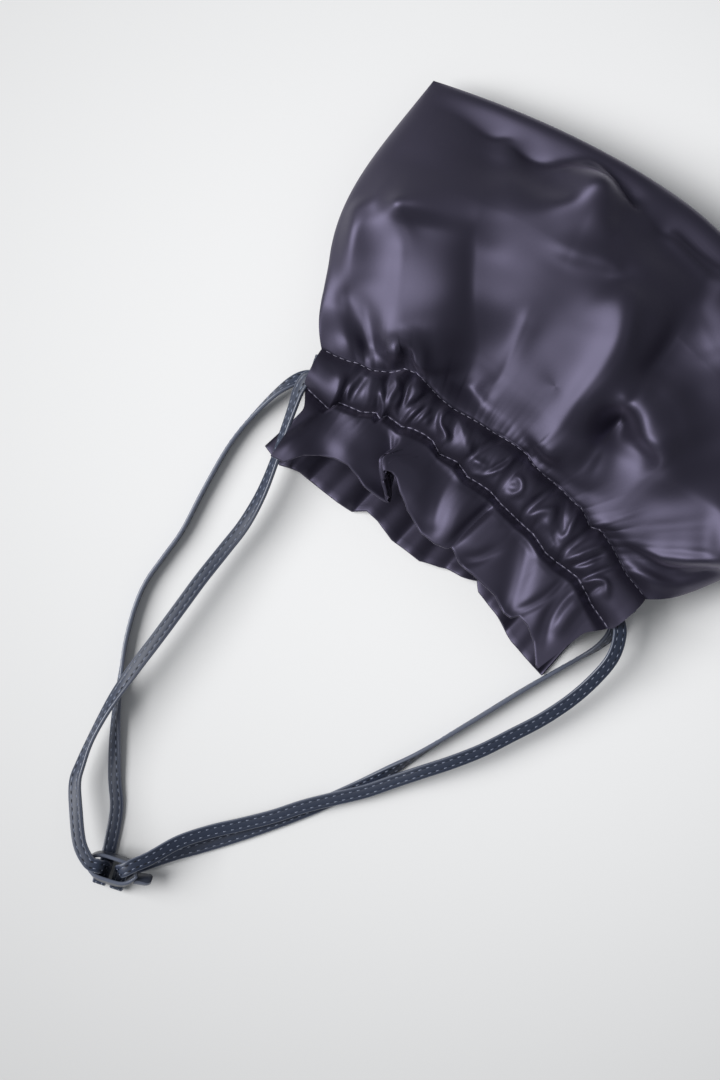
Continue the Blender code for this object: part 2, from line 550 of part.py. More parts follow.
def loop_route(hand):
    """All the points of one loop, with a width direction at each: hand is -1 for the left drawstring."""
    lower, upper = ((LEFT_LOWER_STRAND, LEFT_UPPER_STRAND) if hand < 0
                    else (RIGHT_LOWER_STRAND, RIGHT_UPPER_STRAND))
    entries = (tunnel_pass(hand, 1) + turn_round(hand) + tunnel_pass(hand, -1)
               + strand(lower) + through_slider(hand) + strand(upper))
    places = np.array([entry[0] for entry in entries])
    ahead = np.roll(places, -1, axis=0) - np.roll(places, 1, axis=0)
    widths = []
    for (_, width, roll), way in zip(entries, ahead):
        if width is None:
            level = np.array((way[1], -way[0], 0.0)) * -hand
            level = level / np.linalg.norm(level)
            width = level * math.cos(math.radians(roll)) + np.array((0, 0, math.sin(math.radians(roll))))
        widths.append(width)
    return places, np.array(widths)


def smooth_loop(values, steps):
    """A closed Catmull-Rom curve through the values, with the given number of steps from each to the next."""
    before, after, beyond = np.roll(values, 1, 0), np.roll(values, -1, 0), np.roll(values, -2, 0)
    samples = []
    for step in range(steps):
        t = step / steps
        samples.append(0.5 * (2 * values + (after - before) * t
                              + (2 * before - 5 * values + 4 * after - beyond) * t ** 2
                              + (3 * values - before - 3 * after + beyond) * t ** 3))
    return np.stack(samples, axis=1).reshape(-1, values.shape[1])


def drawstring(name, hand, finish):
    """A closed loop of flat strap: a rectangle carried along the loop's curve."""
    places, widths = loop_route(hand)
    path = smooth_loop(places, STRAP_STEPS)
    ahead = np.roll(path, -1, axis=0) - np.roll(path, 1, axis=0)
    ahead = ahead / np.linalg.norm(ahead, axis=1, keepdims=True)
    wide = smooth_loop(widths, STRAP_STEPS)
    wide = wide - ahead * np.sum(wide * ahead, axis=1, keepdims=True)
    wide = wide / np.linalg.norm(wide, axis=1, keepdims=True)
    thick = np.cross(ahead, wide)
    corners = [path + wide * a * STRAP_WIDTH / 2 + thick * b * STRAP_THICKNESS / 2
               for a, b in ((1, 1), (-1, 1), (-1, -1), (1, -1))]
    points = np.stack(corners, axis=1).reshape(-1, 3)
    count = len(path)
    faces = [[ring * 4 + side, ring * 4 + (side + 1) % 4,
              (ring + 1) % count * 4 + (side + 1) % 4, (ring + 1) % count * 4 + side]
             for ring in range(count) for side in range(4)]
    return place(name, build_mesh(name, [tuple(point) for point in points], faces), finish)


def slider_outline(half_length, half_width):
    """Points round a pointed oval: its half width falls with the fourth power of the distance along."""
    angles = np.arange(SLIDER_SIDES) * 2 * math.pi / SLIDER_SIDES
    along = half_length * np.cos(angles)
    across = half_width * (1 - (along / half_length) ** 4) * np.sign(np.sin(angles))
    across[np.abs(np.sin(angles)) < 1e-9] = 0.0
    return along, across


def slider(finish):
    """The ring of leather and its short tail, standing on edge above the folded bights."""
    foot = 2 * STRAP_THICKNESS + 0.0018
    half_length = SLIDER_LENGTH / 2
    hole_half = STRAP_WIDTH / 2 + SLIDER_EASE
    outside = slider_outline(half_length, hole_half + SLIDER_WALL)
    inside = slider_outline(half_length - SLIDER_WALL, hole_half)
    along = np.array((math.cos(SLIDER_TURN), math.sin(SLIDER_TURN)))
    across = np.array((math.sin(SLIDER_TURN), -math.cos(SLIDER_TURN)))
    points = []
    for outline in (outside, inside):
        for height in (foot, foot + SLIDER_HEIGHT):
            for e, n in zip(*outline):
                x, y = np.array(SLIDER_CENTRE) + along * e + across * n
                points.append((x, y, height))
    count = SLIDER_SIDES
    faces = []
    for side in range(count):
        following = (side + 1) % count
        for low, high in ((0, 1), (2, 3), (0, 2), (1, 3)):
            faces.append([low * count + side, low * count + following,
                          high * count + following, high * count + side])
    ring = place("slider", build_mesh("slider", points, faces), finish)

    tail_points = []
    for height in (foot, foot + SLIDER_HEIGHT):
        for e, n in ((-half_length + SLIDER_WALL / 2, -SLIDER_WALL / 2), (-half_length - SLIDER_TAIL, 0.0),
                     (-half_length - SLIDER_TAIL, SLIDER_WALL), (-half_length + SLIDER_WALL / 2, SLIDER_WALL / 2)):
            x, y = np.array(SLIDER_CENTRE) + along * e + across * n
            tail_points.append((x, y, height))
    tail_faces = [[0, 1, 2, 3], [4, 5, 6, 7]] + [[i, (i + 1) % 4, (i + 1) % 4 + 4, i + 4] for i in range(4)]
    tail = place("slider_tail_guide", build_mesh("slider_tail_guide", tail_points, tail_faces), finish)
    tail.hide_render = True
    tail.display_type = "WIRE"
    join = ring.modifiers.new("tail", "BOOLEAN")
    join.operation = "UNION"
    join.solver = "EXACT"
    join.object = tail
    return ring


def main():
    for old in list(bpy.data.objects):
        bpy.data.objects.remove(old, do_unlink=True)
    satin = material("aubergine_satin", (0.045, 0.041, 0.062), 0.32)
    strap_leather = material("navy_strap_leather", (0.045, 0.055, 0.080), 0.50)
    slider_leather = material("navy_slider_leather", (0.040, 0.048, 0.068), 0.45)
    place("front_panel", panel_mesh("front_panel", FRONT_COLUMNS, FRONT_BODY_ROWS, 1), satin)
    place("back_panel", panel_mesh("back_panel", BACK_COLUMNS, BACK_BODY_ROWS, -1), satin)
    drawstring("left_drawstring", -1, strap_leather)
    drawstring("right_drawstring", 1, strap_leather)
    slider(slider_leather)


main()
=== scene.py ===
"""Kinchaku drawstring pouch: aubergine satin, gathered on two flat navy leather drawstrings.

The pouch lies filled on a table with its mouth towards -Y. Lengths are in metres unless a name ends in
_MM. The cloth is drawn from rows of stitches outwards, as a bag maker would sew it: body, casing, frill.
"""
import math

import bpy
import numpy as np
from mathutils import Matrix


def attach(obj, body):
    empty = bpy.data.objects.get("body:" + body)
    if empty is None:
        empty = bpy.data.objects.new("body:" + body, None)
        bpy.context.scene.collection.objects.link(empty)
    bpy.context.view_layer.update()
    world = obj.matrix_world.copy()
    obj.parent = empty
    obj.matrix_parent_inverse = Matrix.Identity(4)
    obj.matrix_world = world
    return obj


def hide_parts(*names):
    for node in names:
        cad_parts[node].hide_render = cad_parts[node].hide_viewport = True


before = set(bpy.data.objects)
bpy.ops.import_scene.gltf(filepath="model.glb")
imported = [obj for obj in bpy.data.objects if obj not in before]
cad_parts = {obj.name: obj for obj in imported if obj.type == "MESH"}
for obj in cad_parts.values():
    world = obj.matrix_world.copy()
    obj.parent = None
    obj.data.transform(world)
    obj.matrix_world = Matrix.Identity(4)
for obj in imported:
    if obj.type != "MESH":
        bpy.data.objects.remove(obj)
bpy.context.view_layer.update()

MM = 0.001

# Camera and light
# The pouch is seen from straight above, turned so that its mouth points to the lower left. One large
# soft window stands to the left of the picture. The pale table and the room's walls fill the shadows.
PICTURE_TURN = math.radians(38.7)
PICTURE_CENTRE_MM = (-23.7, -101.7)
PICTURE_HEIGHT = 0.4752
LENS_MM = 60.0
SENSOR_MM = 36.0
WINDOW_SIZE = 1.5
WINDOW_AWAY = 2.2
WINDOW_WAY = (-0.99, 0.12)
WINDOW_RISE = math.radians(42)
WINDOW_POWER = 62.0
ROOM_COLOUR = "#c9ccd0"
ROOM_LIGHT = 0.38
# The table top's colour carries painted light: white at a place right of the picture's middle, and greyer
# with the distance from it, a painted fall-off of the light
TABLE_HALF = 3.0
TABLE_PAINTED_LIGHT = "#ffffff"
TABLE_PAINTED_SHADE = "#b2b2b2"
PAINTED_LIGHT_PLACE = (0.15, 0.06)
PAINTED_LIGHT_REACH = 0.68
centre = np.array((PICTURE_CENTRE_MM[0] * MM, PICTURE_CENTRE_MM[1] * MM, 0.0))


def linear(colour):
    """Linear red, green, blue and alpha of a #rrggbb sRGB colour."""
    parts = [int(colour[place:place + 2], 16) / 255 for place in (1, 3, 5)]
    return tuple(c / 12.92 if c <= 0.04045 else ((c + 0.055) / 1.055) ** 2.4 for c in parts) + (1.0,)


def node(material, kind, settings=None, links=None):
    """Adds a node to a material. settings names its properties or sockets; links joins sockets to it."""
    made = material.node_tree.nodes.new(kind)
    for name, value in (settings or {}).items():
        if isinstance(name, str) and hasattr(made, name):
            setattr(made, name, value)
        else:
            made.inputs[name].default_value = value
    for name, socket in (links or {}).items():
        material.node_tree.links.new(socket, made.inputs[name])
    return made


def new_material(name):
    """A material with a Principled shader, and that shader."""
    made = bpy.data.materials.new(name)
    made.use_nodes = True
    return made, made.node_tree.nodes["Principled BSDF"]


def picture_way(right, up):
    """A level direction in the model for one in the picture."""
    c, s = math.cos(PICTURE_TURN), math.sin(PICTURE_TURN)
    return np.array((right * c - up * s, right * s + up * c, 0.0))


camera_data = bpy.data.cameras.new("camera")
camera_data.lens = LENS_MM
camera_data.sensor_width = SENSOR_MM
camera_data.sensor_fit = "AUTO"
camera = bpy.data.objects.new("camera", camera_data)
bpy.context.collection.objects.link(camera)
camera.location = (centre[0], centre[1], PICTURE_HEIGHT * LENS_MM / SENSOR_MM)
camera.rotation_euler = (0.0, 0.0, PICTURE_TURN)
bpy.context.scene.camera = camera
bpy.context.scene.view_settings.view_transform = "Standard"

window_way = picture_way(*WINDOW_WAY) * math.cos(WINDOW_RISE) + np.array((0.0, 0.0, math.sin(WINDOW_RISE)))
window_light = bpy.data.lights.new("window", "AREA")
window_light.shape = "SQUARE"
window_light.size = WINDOW_SIZE
window_light.energy = WINDOW_POWER
window = bpy.data.objects.new("window", window_light)
bpy.context.collection.objects.link(window)
window.location = centre + window_way * WINDOW_AWAY
window_aim = -window_way
window_fall = math.acos(-window_aim[2] / np.linalg.norm(window_aim))
window.rotation_euler = (window_fall, 0.0, math.atan2(window_aim[0], -window_aim[1]) + math.pi)

world = bpy.data.worlds.new("studio")
world.use_nodes = True
world.node_tree.nodes["Background"].inputs["Color"].default_value = linear(ROOM_COLOUR)
world.node_tree.nodes["Background"].inputs["Strength"].default_value = ROOM_LIGHT
bpy.context.scene.world = world

table_mesh = bpy.data.meshes.new("table")
table_corners = [(x * TABLE_HALF, y * TABLE_HALF, 0) for x, y in ((-1, -1), (1, -1), (1, 1), (-1, 1))]
table_mesh.from_pydata(table_corners, [], [(0, 1, 2, 3)])
table = bpy.data.objects.new("table", table_mesh)
bpy.context.collection.objects.link(table)
table_paint, table_shader = new_material("matt_table_top_with_painted_light")
# The colour mix below paints the light's fall-off onto the table: white round one place, greyer further off
painted_light_centre = centre + picture_way(*PAINTED_LIGHT_PLACE)
table_place = node(table_paint, "ShaderNodeTexCoord")
painted_light_distance = node(table_paint, "ShaderNodeVectorMath", {"operation": "DISTANCE", 1: tuple(painted_light_centre)},
                  {0: table_place.outputs["Object"]})
painted_light_falloff = node(table_paint, "ShaderNodeMapRange",
                  {"interpolation_type": "SMOOTHSTEP", "From Max": PAINTED_LIGHT_REACH},
                  {"Value": painted_light_distance.outputs["Value"]})
painted_light_tone = node(table_paint, "ShaderNodeMix",
                  {"data_type": "RGBA", 6: linear(TABLE_PAINTED_LIGHT), 7: linear(TABLE_PAINTED_SHADE)},
                  {0: painted_light_falloff.outputs["Result"]})
table_paint.node_tree.links.new(painted_light_tone.outputs[2], table_shader.inputs["Base Color"])
table_shader.inputs["Roughness"].default_value = 0.75
table_shader.inputs["Specular IOR Level"].default_value = 0.2
table_mesh.materials.append(table_paint)


# Satin panels
# Each panel is one cut piece of polyester satin. Its top is folded in along the hem and stitched twice,
# so the same sheet runs up the body, over the casing and the frill, round the hem and back inside.
# The plan. A bow is how much nearer to the mouth a row's ends lie than its middle
POUCH_WIDTH = 0.246
BODY_LENGTH = 0.1246
CASING_LENGTH = 0.022
FRILL_LENGTH = 0.042
NECK_WIDTH = 0.162
CASING_WIDTH = 0.155
UPPER_HEM_WIDTH = 0.146
LOWER_HEM_WIDTH = 0.158
HEM_SHIFT = 0.003
BOTTOM_BOW = 0.0246
UPPER_ROW_BOW = 0.018
LOWER_ROW_BOW = 0.016
HEM_BOW = 0.0068
BOW_POWER = 1.7
SIDE_POWER = 4.0
# Heights above the table: the crown, the throat between the panels at the neck, and the seams
PUFF_HEIGHT = 0.046
THROAT_FLOOR = 0.0112
THROAT_CEILING = 0.0167
SIDE_SEAM_HEIGHT = 0.020
CORNER_HEIGHT = 0.014
BOTTOM_SEAM_HEIGHT = 0.024
CROWN_PLACE = 0.62
RISE_POWER = 1.5
CLOTH = 0.0012
FRONT_ROW_HEIGHT = THROAT_CEILING + 2 * CLOTH
BACK_ROW_HEIGHT = THROAT_FLOOR - 2 * CLOTH
CLOTH_LENGTH = HEM_BOW + FRILL_LENGTH + CASING_LENGTH + BODY_LENGTH
BOTTOM_Y = CLOTH_LENGTH / 2
UPPER_ROW_Y = BOTTOM_Y - BODY_LENGTH
LOWER_ROW_Y = UPPER_ROW_Y - CASING_LENGTH
NECK_SEAM_HEIGHT = (THROAT_FLOOR + THROAT_CEILING) / 2
# How round the body is across its left and right halves, and from the crown down to the bottom seam
LEFT_FULLNESS = 3.0
RIGHT_FULLNESS = 5.5
SIDE_ROUNDING = 0.6
CROWN_FALL = 2.3
SAG_POWER = 4
SAG = 1.3
# The tunnel's height over the straps, how far the cloth stands past the straps' turns, how deep a crease
# may cut before it would meet a strap, and the puff that makes up for it
TUNNEL_HEIGHT = 0.00605
TUNNEL_END = 0.0068
CREASE_LIMIT = 0.0019
CASING_PUFF = 0.0013
# Puffs between the gathers: how many, and how high they stand on each part
PLEATS = 15
BODY_PUCKER = 0.0008
CASING_PUCKER = 0.0004
FRILL_PUCKER = 0.0006
BACK_PUCKER = 0.0018
FRILL_LIFT = 0.005
BACK_FRILL_LIFT = 0.0008
BACK_FRILL_WAVE = 0.0055
LOWEST_CLOTH = 0.0002
HEM_RADIUS = 0.0007
# The grid of each sheet: columns across, then rows on the body, casing, frill, round the hem and inside
COLUMNS = 330
BODY_ROWS = 130
CASING_ROWS = 34
FRILL_ROWS = 46
HEM_ROWS = 6
INSIDE_FRILL_ROWS = 18
INSIDE_CASING_ROWS = 9
# Folds are rows of bells: how many to a step of the line, their reach along it, which is at least a share
# of their width, how round the crest is, how steep the flanks are, and where a flank has run out
BELLS = 8
BELL_REACH_MM = 4.0
REACH_TO_WIDTH = 0.35
CREST_MM = 1.5
FLANK_TO_WIDTH = 0.7
FLAT_FLANK = 60
# The creases of the casing are narrower
CASING_REACH_MM = 1.8
CASING_CREST_MM = 0.4

# Hem lines of the two panels: place across, from -1 to 1, and how far the frill reaches there, where 1 is
# its full length. The upper one is drawn back in its left half, so the lower one shows beyond it
UPPER_HEM = (
    (-1, 0.986), (-0.913, 0.958), (-0.849, 0.797), (-0.772, 0.705), (-0.7, 0.655), (-0.614, 0.628),
    (-0.544, 0.647), (-0.506, 0.68), (-0.468, 0.674), (-0.434, 0.663), (-0.4, 0.64), (-0.33, 0.5),
    (-0.297, 0.463), (-0.273, 0.44), (-0.253, 0.455), (-0.225, 0.529), (-0.167, 0.613), (-0.032, 0.688),
    (0.071, 0.694), (0.15, 0.655), (0.159, 0.619), (0.253, 0.683), (0.397, 0.696), (0.542, 0.71),
    (0.641, 0.778), (0.69, 0.776), (0.722, 0.719), (0.796, 0.742), (0.888, 0.819), (0.981, 0.969),
    (1, 0.975),
)
LOWER_HEM = (
    (-1, 0.945), (-0.868, 1), (-0.759, 0.935), (-0.622, 0.938), (-0.488, 0.936), (-0.392, 0.916),
    (-0.327, 0.832), (-0.252, 0.84), (-0.131, 0.893), (0.065, 0.886), (0.216, 0.786), (0.3, 0.763),
    (0.386, 0.7), (0.433, 0.772), (0.58, 0.829), (0.749, 0.935), (0.916, 0.985), (1, 1),
)

# Folds of the upper panel's body, which fan out from the gathers: the broad lobes, their hollows, and the
# small pinches by the stitches. Each is a line of points (x, y, height, left width, right width), in
# millimetres, and a hollow has a minus height
BODY_FOLDS_MM = (
    ((-99.4, 16.7, 3.7, 4, 11.6), (-86.3, 8.5, 1.6, 7.8, 5.7), (-74.4, -8.2, 2.8, 39.5, 7.2),
     (-62, -20.1, 8.8, 36.9, 27.5), (-59.9, -30.1, 4.7, 3.9, 6.6)),
    ((-67.5, 31.2, -0.9, 9.3, 10.2), (-64.1, 26.8, -10.4, 40, 8.6), (-50.9, 10.3, -3.7, 20.6, 5),
     (-32, -10, -11.5, 32.8, 14.2), (-28.2, -19.5, -8.7, 20.9, 25.7), (-33.6, -38.3, -0.1, 5.1, 5.7)),
    ((-67.4, 28.9, 3.6, 7.1, 18.1), (-69.5, 47.5, 1, 9.9, 36), (-53.4, 74.2, 10.6, 20.2, 16.3),
     (-47.3, 86.2, 29.1, 2.1, 35.6), (-33.7, 85.7, 18, 3.5, 25.4), (-21.5, 74.4, -4.4, 19.1, 6.7),
     (-13.6, 52.8, 3.6, 5.7, 10.5)),
    ((-26.6, 16.1, 1.3, 7, 3), (-23.5, 5.7, 1, 6, 2.6), (-19, -11.6, 1.3, 6.8, 2.5),
     (-21.5, -21.9, 4.4, 5.4, 3.6)),
    ((-13, 54.8, -7.4, 8.8, 22.5), (-3, 51.2, 0.4, 6.3, 8.4), (8, 35.8, 5, 4, 7),
     (12.3, 23.7, 4.4, 7.6, 7.1), (12.8, 5.2, 3.9, 6.7, 5.9), (14.9, -9.3, 5, 11.7, 7.5),
     (14, -22.7, 9.1, 4.9, 7)),
    ((23.2, 101.7, -34.1, 9.1, 24.1), (21.8, 79, -20.3, 8.6, 63.4), (26.8, 60.6, -3.8, 19.6, 15.9),
     (28.4, 44.6, -13.2, 22.8, 7.6), (30.7, 22.6, -7, 6.6, 7.6), (33.7, 11.2, -1.2, 8.2, 6.5),
     (32, 3.1, -18.2, 6.9, 6.5), (32.9, -24.2, 1.4, 8.7, 4.3)),
    ((28, 11.3, 5.3, 4, 4.9), (29.8, 23.4, 2.9, 7.2, 11.8), (44.6, 22.3, 9.5, 10, 16),
     (56.5, 10.5, 11.5, 13.2, 8.9), (55.3, -6.2, 1.4, 7.5, 4.6), (54.5, -22.5, 0.5, 5, 5.2)),
    ((74.9, -0.1, 8.4, 7.9, 71.8), (95, 3.2, 18.9, 5.7, 46.6), (106.6, -3.9, 17.5, 15.8, 30.5)),
    ((49.2, -35.8, 2.7, 3.8, 3), (61.4, -26.7, 0.7, 2.9, 2.2), (72.7, -16.7, -0.7, 2.5, 2.6),
     (86, -1.9, -0.8, 4.5, 3.6)),
    ((68.1, -33.9, -4.5, 2, 2.6), (87.8, -29.9, -11.1, 4.3, 4.1), (99, -17.4, -11.2, 4.6, 4.7),
     (107.1, -13.7, -4.1, 4.7, 3)),
    ((-58.5, -38.5, 2, 2.4, 2.4), (-63.6, -29, 4, 2.4, 2.4), (-62.5, -21.5, 4.5, 2.4, 2.4),
     (-56.2, -20.6, 4.5, 2.4, 2.4), (-49.3, -27.5, 4, 2.4, 2.4), (-47.5, -33, 2, 2.4, 2.4)),
    ((-57.2, -25.8, -2.5, 2.6, 2.6), (-54, -34, -4, 2.6, 2.6)),
    ((-90, -22, -1, 4.9, 4.1), (-80.8, -28.2, -5.6, 6.4, 6.8), (-70.1, -35.5, -7.1, 3, 3.5)),
    ((-31.3, -33, -4, 3.2, 3.3), (-21.6, -16.9, -1.6, 4, 4.4)),
    ((-0.6, 86.8, 4.4, 2.1, 4.3), (29.4, 87, 8.5, 2.6, 7.4)),
    ((-82.7, 73.1, 7.1, 2.6, 20.9), (-45.9, 99.8, -28.8, 14, 39.4), (-13, 90.9, 5.5, 19.1, 11.4)),
    ((-103.3, 40.2, -1.8, 25.4, 17.7), (-94.5, 19.5, 8.1, 12.4, 9.1)),
    ((-86.9, 63.9, -25.4, 64.6, 18.1), (-38.4, 84.2, 11.3, 5, 27)),
    ((-44.3, 27.9, -0.6, 15.7, 15), (-15.2, 25.1, -1.6, 14.6, 23.4)),
    ((-19.2, 16.7, 9.4, 46.1, 38.2), (-17, -16.2, 1, 17.7, 11.1)),
    ((23.8, 66, -1.8, 10.1, 14.5), (42.5, 54.1, -2.6, 8.5, 8.5)),
    ((43.1, 28.9, -6, 11.1, 14.9), (61, 14.7, -6, 15.6, 8.9)),
    ((-117, 5.9, 7, 6.2, 8.2), (-98.6, -16.8, 1.3, 10.5, 8.5)),
    ((-95.2, -24, -2.6, 5, 4.2), (-77.2, -40.1, 3.5, 4.4, 4.5)),
    ((-56.2, -12, 1.5, 7.3, 7.9), (-43.3, -25.4, 5.9, 7.7, 4.4)),
    ((-8.7, -13.2, 0.3, 5.1, 4.9), (-8.3, -25.3, 0, 3.7, 4)),
    ((32.2, -7, 9.5, 6.2, 6.3), (38.9, -26, -2.8, 6.3, 6.5)),
    ((71.7, -26.4, -1.2, 2.9, 2), (91.7, -9.3, -5.6, 7.2, 2.4)),
    ((-29.7, 44.2, 2.9, 8.7, 7.6), (-34.9, 65.8, 3.5, 12.7, 9.7)),
)
# Small sharp folds that the drawn strap presses into the casing, in the same form
CASING_FOLDS_MM = (
    ((-68.9, -44.6, -1.5, 1, 1.5), (-69, -50.6, -2, 1, 1.5), (-68.6, -55.8, -2, 1, 1.2),
     (-66.7, -60.3, -1.5, 1, 1)),
    ((-68.7, -51, 1.2, 0.9, 0.9), (-67.5, -55.9, 1.2, 0.9, 0.9), (-66, -59.1, 1, 0.9, 0.9)),
    ((-64.9, -46.8, -2, 1.2, 1.5), (-65, -52.9, -2, 1.2, 1.5), (-63.7, -57.9, -1.5, 1, 1)),
    ((-72.8, -52, 1.5, 1.5, 2.5), (-70.8, -56.5, 1.5, 1.5, 2.5), (-68.3, -61, 1, 1.5, 2)),
    ((-61.7, -42.6, 1.4, 5, 4), (-60.5, -50.4, 1.6, 5, 4), (-57.2, -56.5, 1, 4, 4)),
    ((-55.5, -49.7, -1.5, 1, 1), (-51.7, -53.7, -1, 1, 1)),
    ((-56.3, -45.4, 1.8, 1, 1), (-52.7, -50.7, 2.2, 1, 1), (-49, -55.9, 1.5, 1, 1)),
    ((-57.6, -38.2, -2, 1, 1.5), (-55.7, -44.4, -2, 1, 1.5), (-52.9, -49.2, -1, 1, 1)),
    ((-55.8, -38.4, 1.2, 1.2, 1.2), (-52.1, -40.4, 1.5, 1.2, 1.2), (-51.7, -45, 1.5, 1.2, 1.2),
     (-51, -49.9, 1, 1.2, 1.2)),
    ((-49.1, -40.7, 1.5, 1.2, 1.2), (-47.6, -45, 1.5, 1.2, 1.2), (-49.5, -49.7, 1.5, 1.2, 1.2)),
    ((-49.7, -32.7, -2.5, 1, 1.2), (-48.7, -38.8, -3.5, 1, 1.3), (-45.4, -46, -3.5, 1, 1.3),
     (-43.7, -49.5, -2.5, 1, 1)),
    ((-46, -31.6, 1.5, 1.5, 3), (-43.1, -35.9, 1.8, 1.5, 3.5), (-43, -42.9, 1.5, 1.2, 3),
     (-43.3, -48.6, 1, 1, 2)),
    ((-39.5, -35, -2.5, 0.9, 1), (-41, -40.2, -3, 0.9, 1.2), (-42.8, -44.9, -3, 0.9, 1.2),
     (-42, -50.6, -2, 0.9, 1)),
    ((-39, -40.3, 1.2, 0.9, 0.9), (-40, -46.5, 1.4, 0.9, 0.9), (-40.9, -51.6, 1, 0.9, 0.9)),
    ((-37.3, -40, -1.2, 0.8, 0.8), (-38, -46.3, -1.4, 0.8, 0.8), (-38.4, -50.7, -1, 0.8, 0.8)),
    ((-35.4, -40.1, 1.2, 0.9, 0.9), (-36.2, -46.2, 1.4, 0.9, 0.9), (-36.3, -49.5, 1, 0.9, 0.9)),
    ((-32.5, -41, 1.2, 0.9, 0.9), (-33.3, -45.5, 1, 0.9, 0.9)),
    ((-34.5, -34.4, -2, 2, 2.5), (-32.3, -39.8, -2.5, 2, 2.5), (-29.3, -44.2, -2.5, 1.8, 2.5),
     (-25.7, -48.1, -1.5, 1.5, 2)),
    ((-29, -33.4, 1, 1.4, 1.5), (-29.9, -38.4, 2, 1.2, 1.5), (-27.8, -42.2, 2, 1.2, 1.2),
     (-22.4, -44.3, 2, 1.2, 1.2), (-23.3, -49, 1.2, 1, 1)),
    ((-23.7, -35.6, -1.5, 1.5, 2), (-22.3, -40, -1.5, 1.5, 2), (-20.8, -43.7, -1, 1.5, 1.5)),
    ((-21.7, -34.6, 1.5, 3, 2.5), (-15.4, -39.9, 2.2, 3, 3), (-9.8, -44.7, 1.5, 2, 3)),
    ((-12.8, -30.2, 1, 4, 4), (-10.5, -37.1, 1.2, 4, 3)),
    ((-4, -30.9, -2, 1, 1.5), (-7.8, -40.4, -3, 1, 1.6), (-9, -45.4, -3, 1, 1.4), (-9.6, -50.7, -2, 1, 1)),
    ((-7.8, -45.3, 1.2, 1.2, 1.2), (-2.4, -43.7, 1.2, 1.2, 1.2)),
    ((4.1, -35.5, -1.5, 0.8, 0.8), (1.2, -43.5, -1.6, 0.8, 0.8), (-1.5, -47.6, -1, 0.8, 0.8)),
    ((5.5, -34.6, 1.5, 1, 1.2), (3.4, -41.8, 1.6, 1, 1.2), (-3.5, -50.6, 1.2, 1, 1.2)),
    ((8.5, -29, -2.5, 1, 2), (9.9, -34.4, -3.5, 1, 2.2), (9.3, -40, -3.5, 1, 1.8),
     (9.2, -45.3, -3.5, 1, 1.5), (9.9, -49.8, -2.5, 1, 1.2)),
    ((11.1, -38.6, 1.5, 1.2, 1), (14.4, -39.5, 1.8, 1.2, 1), (16.3, -43.2, 1.8, 1.2, 1),
     (14.7, -46.7, 1.2, 1, 1)),
    ((10.8, -44.6, -1.2, 1.2, 1.2), (13.6, -43.2, -1.5, 1.2, 1.2)),
    ((15.8, -29.1, 1.4, 5, 4), (17.9, -36.2, 2, 5, 4), (18.7, -43.5, 1.4, 4, 4)),
    ((27.7, -31.9, -2, 1, 1.5), (25.6, -39.2, -3, 1, 1.6), (24.3, -44.1, -3, 1, 1.4),
     (23.9, -48.1, -3, 1, 1.2), (25.4, -52, -2, 1, 1)),
    ((33.4, -39, 1.4, 2, 1.2), (28.9, -43.4, 1.6, 2, 1.2), (26.2, -49.2, 1.4, 1.6, 1.2)),
    ((30.4, -48, -1.2, 0.8, 0.8), (31.2, -51.7, -1.2, 0.8, 0.8)),
    ((33.1, -41.4, 1, 2, 2), (34.6, -47.7, 1.2, 2, 2)),
    ((34.4, -33.9, -1.8, 1, 3), (37.2, -39.6, -2.6, 1, 3), (42.3, -45, -2.2, 1, 2.5)),
    ((40.9, -33.8, 1.4, 1.5, 0.9), (42.5, -41.3, 1.6, 1.5, 0.9), (43.2, -45.8, 1.4, 1.5, 0.9)),
    ((38.9, -47.7, -1.2, 1, 1), (43.2, -50.3, -1.2, 1, 1)),
    ((51.3, -36.7, -2, 1, 1.5), (49, -44.8, -3, 1, 1.6), (47.6, -50.3, -3, 1, 1.4),
     (48.7, -55.7, -2, 1, 1)),
    ((58.8, -37.8, 1.5, 1.5, 1.2), (54.2, -45.8, 2, 1.5, 1.2), (50.7, -53.5, 1.4, 1.4, 1.2)),
    ((60.8, -42.2, -1.4, 0.8, 0.8), (56.9, -49.2, -1.6, 0.8, 0.8), (53.7, -53.5, -1.2, 0.8, 0.8)),
    ((59.7, -46.3, 1, 1.8, 1.8), (56.8, -53.6, 1, 1.8, 1.8)),
    ((68.8, -41.4, -1.4, 0.8, 1), (64.6, -47.7, -1.6, 0.8, 1), (61.3, -54.7, -1.4, 0.8, 1)),
    ((61.8, -57.2, 1.4, 1, 1.2), (64.6, -52.5, 1.8, 1, 1.2), (69, -50.4, 1.8, 1, 1.2),
     (72.8, -54.5, 1.2, 1, 1.2)),
    ((68, -53, -1.4, 0.9, 0.9), (66.8, -59.7, -1.2, 0.9, 0.9)),
)
# How far the two stitched rows stray towards the bottom seam: place across, from -1 to 1, and millimetres
UPPER_ROW_STRAYS_MM = (
    (-0.956, -3.2), (-0.892, -1.5), (-0.807, -2.5), (-0.716, 0.1), (-0.669, 3.8), (-0.607, 4.0),
    (-0.547, 2.0), (-0.432, -1.5), (-0.343, -3.0), (-0.191, -2.7), (-0.113, -2.8), (0.035, -1.5),
    (0.113, -0.8), (0.169, -2.3), (0.256, -2.0), (0.327, -0.9), (0.467, 0.1), (0.522, 1.1), (0.613, -0.8),
    (0.671, 2.1), (0.778, 2.1), (0.865, 1.2), (1, 0),
)
LOWER_ROW_STRAYS_MM = (
    (-1, 0), (-0.898, -4.1), (-0.871, 0.4), (-0.744, 0.1), (-0.676, 2.5), (-0.64, 0.7), (-0.622, 3.2),
    (-0.517, 1.7), (-0.467, 3.0), (-0.39, 3.2), (-0.333, 2.4), (-0.258, -1.0), (-0.151, 0.2),
    (-0.057, -2.6), (0.087, -1.2), (0.182, -2.0), (0.326, -1.5), (0.426, -0.6), (0.54, -1.6),
    (0.627, -0.1), (0.691, 1.5), (0.763, 3.2), (0.866, 2.4), (1, 0),
)
